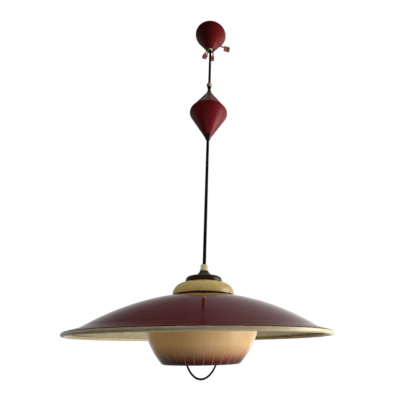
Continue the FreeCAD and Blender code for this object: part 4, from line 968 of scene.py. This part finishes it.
def capOutline(size):
    top, low, radius = glandSizes["low"], size["low"], size["radius"]
    return [
        (tubeHole, top), (8.5, top), (9.1, top - 1.8), (10.9, low + 20.5), (13.4, low + 17.8),
        (16.4, low + 15.8), (20.0, low + 14.3), (24.0, low + 13.2), (28.4, low + 12.4), (31.8, low + 11.8),
        (33.8, low + 10.4), (34.9, low + 8.2), (35.2, low + 5.6), (radius, low), (radius - 2.0, low),
        (33.0, low + 7.0), (26.6, low + 9.8), (12.0, low + 9.8), (9.0, low + 10.0), (tubeHole, low + 10.0)]


lathed("topCap", capOutline(capSizes), ["brownBlack"], "lamp_head", "black_plastic", ["top_cap"], 128, 0.35)

domeSizes = {"edge": -775.8, "radius": 58.4, "wall": 0.9, "fullness": 0.92}


# flat crown and a full, rounded side, open below
def domeOutline(size):
    top = capSizes["low"]
    flat = capSizes["radius"] + 0.3
    outer = []
    inner = []
    for step in range(25):
        turn = math.radians(90 * step / 24)
        for points, inset in ((outer, 0.0), (inner, size["wall"])):
            across = (size["radius"] - flat - inset) * math.sin(turn) ** size["fullness"]
            down = (top - inset - size["edge"]) * (1 - math.cos(turn) ** size["fullness"])
            points.append((flat + across, top - inset - down))
    return [(tubeHole, top)] + outer + inner[::-1] + [(tubeHole, inner[0][1])]


lathed("coverDome", domeOutline(domeSizes), ["domePaint"], "lamp_head", "cream_paint",
       ["cover_dome"], 144, 0.2)

shadeSizes = {
    "crown": -774.0, "curve": 370.0, "kinkRadius": 203.5, "slope": 15.5, "wall": 0.9,
    "beadX": 221.6, "beadZ": -843.55, "beadRadius": 3.4,
}


# a shallow spherical crown, a kink, a straight brim and a rolled rim
def shadeOutline(size):
    centre = size["crown"] - size["curve"]
    angle = math.degrees(math.asin(size["kinkRadius"] / size["curve"]))
    outer = arc(0, centre, size["curve"], 88.0, 90.0 - angle, 56)
    roll = arc(size["beadX"], size["beadZ"], size["beadRadius"], 90.0 - size["slope"], -218.0, 28)
    inner = arc(0, centre, size["curve"] - size["wall"], 90.0 - angle + 0.1, 88.0, 56)
    return [(tubeHole, size["crown"])] + outer + roll + inner + [(tubeHole, size["crown"] - size["wall"])]


# burgundy outside down to the rolled rim, cream on the rim and the inside
def shadePaint(face):
    return 0 if face.normal.z > 0.5 else 1


lathed("shade", shadeOutline(shadeSizes), ["burgundy", "creamPaint"], "lamp_head", "burgundy_paint",
       ["shade"], 256, 0.0, shadePaint)

bowlSizes = {
    "top": -781.1,
    "mouth": opalLook["mouth"] / mm,
    "mouthRadius": 67.5,
    "side": (-28.25, -789.32),  # centre of the side's arc
    "sideRadius": 136.0,
    "kink": (98.45, -838.75),  # where the side meets the shoulder
    "shoulder": (70.5, -827.85),
    "shoulderRadius": 30.0,
    "wall": 3.2,
    "neck": 42.0,
    "collar": 44.5,
    "lines": opalLook["lines"],
    "groove": 0.22,
}


def bowlOutline(size):
    side, shoulder, wall = size["side"], size["shoulder"], size["wall"]
    kink = math.degrees(math.atan2(size["kink"][1] - side[1], size["kink"][0] - side[0]))
    first = math.degrees(math.atan2(size["mouth"] - side[1], size["mouthRadius"] - side[0]))
    outer = arc(*side, size["sideRadius"], first, kink, 34)
    outer += arc(*shoulder, size["shoulderRadius"], kink, 90.0, 16)[1:]
    top, neck, collar, inside = size["top"], size["neck"], size["collar"], size["neck"] - wall
    throat = [
        (neck, top - 13.8), (neck, top - 3.6), (collar, top - 2.8), (collar, top), (inside, top),
        (inside, top - 17.0)]
    inner = arc(*shoulder, size["shoulderRadius"] - wall, 90.0, kink, 16)
    inner += arc(*side, size["sideRadius"] - wall, kink, first, 34)[1:]
    lip = arc(size["mouthRadius"] - 1.6, size["mouth"] + 0.7, 1.5, 190.0, 300.0, 5)
    return outer + throat + inner + lip[:-1]


# the bowl with a fine groove along each meridian
def bowlMesh(size):
    mesh = spun(bowlOutline(size), size["lines"] * 8, 0.0)
    for vert in mesh.verts:
        radius = math.hypot(vert.co.x, vert.co.y)
        if radius > 0.050:
            turn = math.atan2(vert.co.y, vert.co.x)
            groove = max(0.0, math.cos(turn * size["lines"])) ** 12
            shrink = 1 - size["groove"] * mm * groove / radius
            vert.co.x *= shrink
            vert.co.y *= shrink
    return mesh


settle(finishMesh("diffuserBowl", bowlMesh(bowlSizes), ["opal"]), "lamp_head", "opal_glass",
       "diffuser_bowl")

pullSizes = {
    "wire": 3.2, "loop": 26.0, "low": -909.3, "spread": 34.0, "elbow": -806.9, "top": -777.9, "bend": 0.72,
}


# down one side, round the drawn-out loop and up the other
def pullPoints(size):
    centre = size["low"] + size["loop"]
    arm = [(size["spread"], 0, size["top"]), (size["spread"], 0, size["elbow"] + 12),
           (size["spread"] - 0.2, 0, size["elbow"]), (size["spread"] - 2.2, 0, size["elbow"] - 16),
           (size["loop"] + 1.6, 0, centre + 16), (size["loop"] + 0.5, 0, centre + 7)]
    half = []
    for step in range(41):
        share = math.cos(math.pi * step / 40)
        half.append((size["loop"] * share, 0, centre - size["loop"] * (1 - share * share) ** size["bend"]))
    return arm + half + [(-x, y, z) for x, y, z in reversed(arm)]


pullPath = inMetres(pullPoints(pullSizes))
pull = finishMesh("pullHandle", tubeMesh(pullPath, pullSizes["wire"] / 2 * mm, 20), ["blackWire"], 50.0)
settle(pull, "lamp_head", "black_wire", "pull_handle")

threadSizes = {"radius": 13.4, "low": -833.9, "high": -811.9, "pitch": 3.6, "depth": 0.8}


# the rolled screw thread of the lampholder, one unbroken helix
def lampThreadMesh(size):
    mesh = bmesh.new()
    around, along = 96, 60
    rings = []
    for row in range(along + 1):
        z = size["low"] + (size["high"] - size["low"]) * row / along
        ring = []
        for step in range(around):
            turn = 2 * math.pi * step / around
            wave = math.sin(2 * math.pi * z / size["pitch"] - turn)
            radius = size["radius"] + size["depth"] * 0.5 * (1 + wave)
            ring.append(mesh.verts.new((radius * math.cos(turn) * mm, radius * math.sin(turn) * mm, z * mm)))
        rings.append(ring)
    for low, high in zip(rings, rings[1:]):
        for step in range(around):
            after = (step + 1) % around
            mesh.faces.new((low[step], low[after], high[after], high[step]))
    bmesh.ops.solidify(mesh, geom=mesh.faces[:], thickness=-0.15 * mm)
    return mesh


settle(finishMesh("lampThread", lampThreadMesh(threadSizes), ["brass"], 60.0), "lamp_head",
       "contact_brass", "lampholder_shell")

headPoints = [(0, 0, cordSizes["glandTop"]), (0, 0, -730), (0, 0, -780), (0, 0, -793.9)]
laidCord("headCord", headPoints, "lamp_head", "head_cord", 0.0785)
print("head made")

floorSizes = {"height": -1.62, "radius": 2.4}
worldSizes = {"strength": 0.055, "above": 0.13, "ahead": 0.06, "left": 0.4}


# a pale disc that keeps the shadow near its middle and fades to the white background
def makeFloor(height, radius):
    mesh = bmesh.new()
    bmesh.ops.create_circle(mesh, cap_ends=True, segments=96, radius=radius)
    bmesh.ops.translate(mesh, vec=(0, 0, height), verts=mesh.verts)
    data = bpy.data.meshes.new("floor")
    mesh.to_mesh(data)
    mesh.free()
    look = Shader("floorPaint")
    cloud = look.noise(1.2, 3.0)
    pale = look.mix(look.spread(cloud, 0.0, 1.0), (0.84, 0.84, 0.83, 1), (0.8, 0.8, 0.79, 1))
    glow = look.put("ShaderNodeEmission", {"Color": (1, 1, 1, 1), "Strength": 1.0})
    rays = look.put("ShaderNodeLightPath").outputs
    look.set(Base_Color=look.mix(rays["Is Diffuse Ray"], pale, (0.2, 0.19, 0.17, 1)), Roughness=0.9)
    seen = look.maths("MAXIMUM", rays["Is Camera Ray"], look.maths("MULTIPLY", rays["Is Glossy Ray"], 0.2))
    seen = look.maths("MAXIMUM", seen, rays["Is Transmission Ray"])
    away = look.put("ShaderNodeVectorMath", operation="LENGTH")
    flat = look.put("ShaderNodeMapping", {"Vector": look.place, "Scale": (1, 1, 0)}).outputs["Vector"]
    look.give(away.inputs[0], flat)
    share = look.spread(away.outputs["Value"], 0.72, 1.0, 0.3, radius * 0.7)
    blend = look.put("ShaderNodeMixShader")
    look.give(blend.inputs[0], look.maths("MULTIPLY", seen, share))
    look.give(blend.inputs[1], look.surface.outputs["BSDF"])
    look.give(blend.inputs[2], glow.outputs["Emission"])
    look.give(look.output.inputs["Surface"], blend.outputs[0])
    data.materials.append(look.material)
    floor = bpy.data.objects.new("floor", data)
    bpy.context.collection.objects.link(floor)
    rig.stage(floor)


# white to the camera, dim light on the lamp, and a bright back and roof for its gloss to mirror
def makeWorld(strength, above, ahead, left):
    world = bpy.data.worlds.new("studio")
    world.use_nodes = True
    tree = world.node_tree
    tree.nodes.clear()

    def put(kind, inputs, **settings):
        node = tree.nodes.new(kind)
        for key, value in settings.items():
            setattr(node, key, value)
        for socket, value in zip(node.inputs, inputs):
            if isinstance(value, bpy.types.NodeSocket):
                tree.links.new(value, socket)
            elif value is not None:
                socket.default_value = value
        return node.outputs

    way = put("ShaderNodeSeparateXYZ", [put("ShaderNodeTexCoord", [])["Generated"]])
    rays = put("ShaderNodeLightPath", [])
    back = put("ShaderNodeMapRange", [way["Y"], -0.15, 0.5, 0.0, 1.0])[0]
    upper = put("ShaderNodeMapRange", [way["X"], -0.1, 0.6, above, above * 4.5])[0]
    low = put("ShaderNodeMapRange", [way["Z"], 0.05, 0.64, 1.0, upper], interpolation_type="SMOOTHSTEP")[0]
    side = put("ShaderNodeMapRange", [way["X"], -0.7, 0.2, left, 1.0])[0]
    wall = put("ShaderNodeMath", [put("ShaderNodeMath", [back, low], operation="MULTIPLY")[0], side],
               operation="MULTIPLY")[0]
    roof = put("ShaderNodeMapRange", [way["Z"], 0.9, 0.98, 0.0, 1.0])[0]
    sides = put("ShaderNodeMapRange", [wall, 0.0, 1.0, ahead, 1.0])[0]
    mirrored = put("ShaderNodeMath", [sides, roof], operation="MAXIMUM")[0]
    direct = put("ShaderNodeMath", [rays["Is Camera Ray"], rays["Is Transmission Ray"]],
                 operation="MAXIMUM")[0]
    light = put("ShaderNodeBackground", [(1, 0.97, 0.93, 1), strength])[0]
    mirror = put("ShaderNodeBackground", [(1, 1, 1, 1), mirrored])[0]
    white = put("ShaderNodeBackground", [(1, 1, 1, 1), 1.0])[0]
    unseen = put("ShaderNodeMixShader", [rays["Is Glossy Ray"], light, mirror])[0]
    put("ShaderNodeOutputWorld", [put("ShaderNodeMixShader", [direct, unseen, white])[0]])
    bpy.context.scene.world = world


def makeLamp(name, place, target, size, power, tint=(1, 0.98, 0.95), spread=180, mirrored=True):
    data = bpy.data.lights.new(name, "AREA")
    data.shape = "RECTANGLE"
    data.size, data.size_y = size
    data.energy = power
    data.spread = math.radians(spread)
    data.color = tint
    lamp = bpy.data.objects.new(name, data)
    lamp.visible_glossy = mirrored
    bpy.context.collection.objects.link(lamp)
    way = Vector(target) - Vector(place)
    turn = way.to_track_quat("-Z", "Y").to_matrix().to_4x4()
    lamp.matrix_world = Matrix.Translation(place) @ turn


lampSizes = {
    "keyLamp": {"place": (1.7, -0.05, -0.7), "target": (0, 0, -0.7), "size": (1.0, 1.66), "power": 32.0},
    "lowLamp": {"place": (1.0, -0.15, -1.5), "target": (-0.1, 0.03, -0.84), "size": (0.5, 0.5),
                "power": 0.68, "spread": 46, "mirrored": False},
    "headLamp": {"place": (-0.2, -0.4, -0.15), "target": (0, 0, -0.8), "size": (0.3, 0.3),
                 "power": 0.28, "spread": 50, "mirrored": False},
    "fillLamp": {"place": (-0.6, -1.9, -0.9), "target": (0, 0, -0.7), "size": (1.4, 1.4), "power": 2.1},
    "topLamp": {"place": (0.9, -0.3, 1.1), "target": (0, 0, -0.6), "size": (1.2, 1.2),
                "power": 1.6, "mirrored": False},
    "glintLamp": {"place": (0.694, -0.198, -1.215), "target": (0.053, -0.082, -0.845),
                   "size": (0.36, 0.22), "power": 0.8},
}
makeFloor(**floorSizes)
makeWorld(**worldSizes)
for name, lamp in lampSizes.items():
    makeLamp(name, **lamp)
bpy.context.scene.view_settings.view_transform = "Standard"
print("stage set")

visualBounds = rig.bounds()
sizes = {"cad": [list(map(float, corner)) for corner in cadBounds],
         "visual": [list(map(float, corner)) for corner in visualBounds]}
with open("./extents.json", "w") as report:
    json.dump(sizes, report, indent=1)
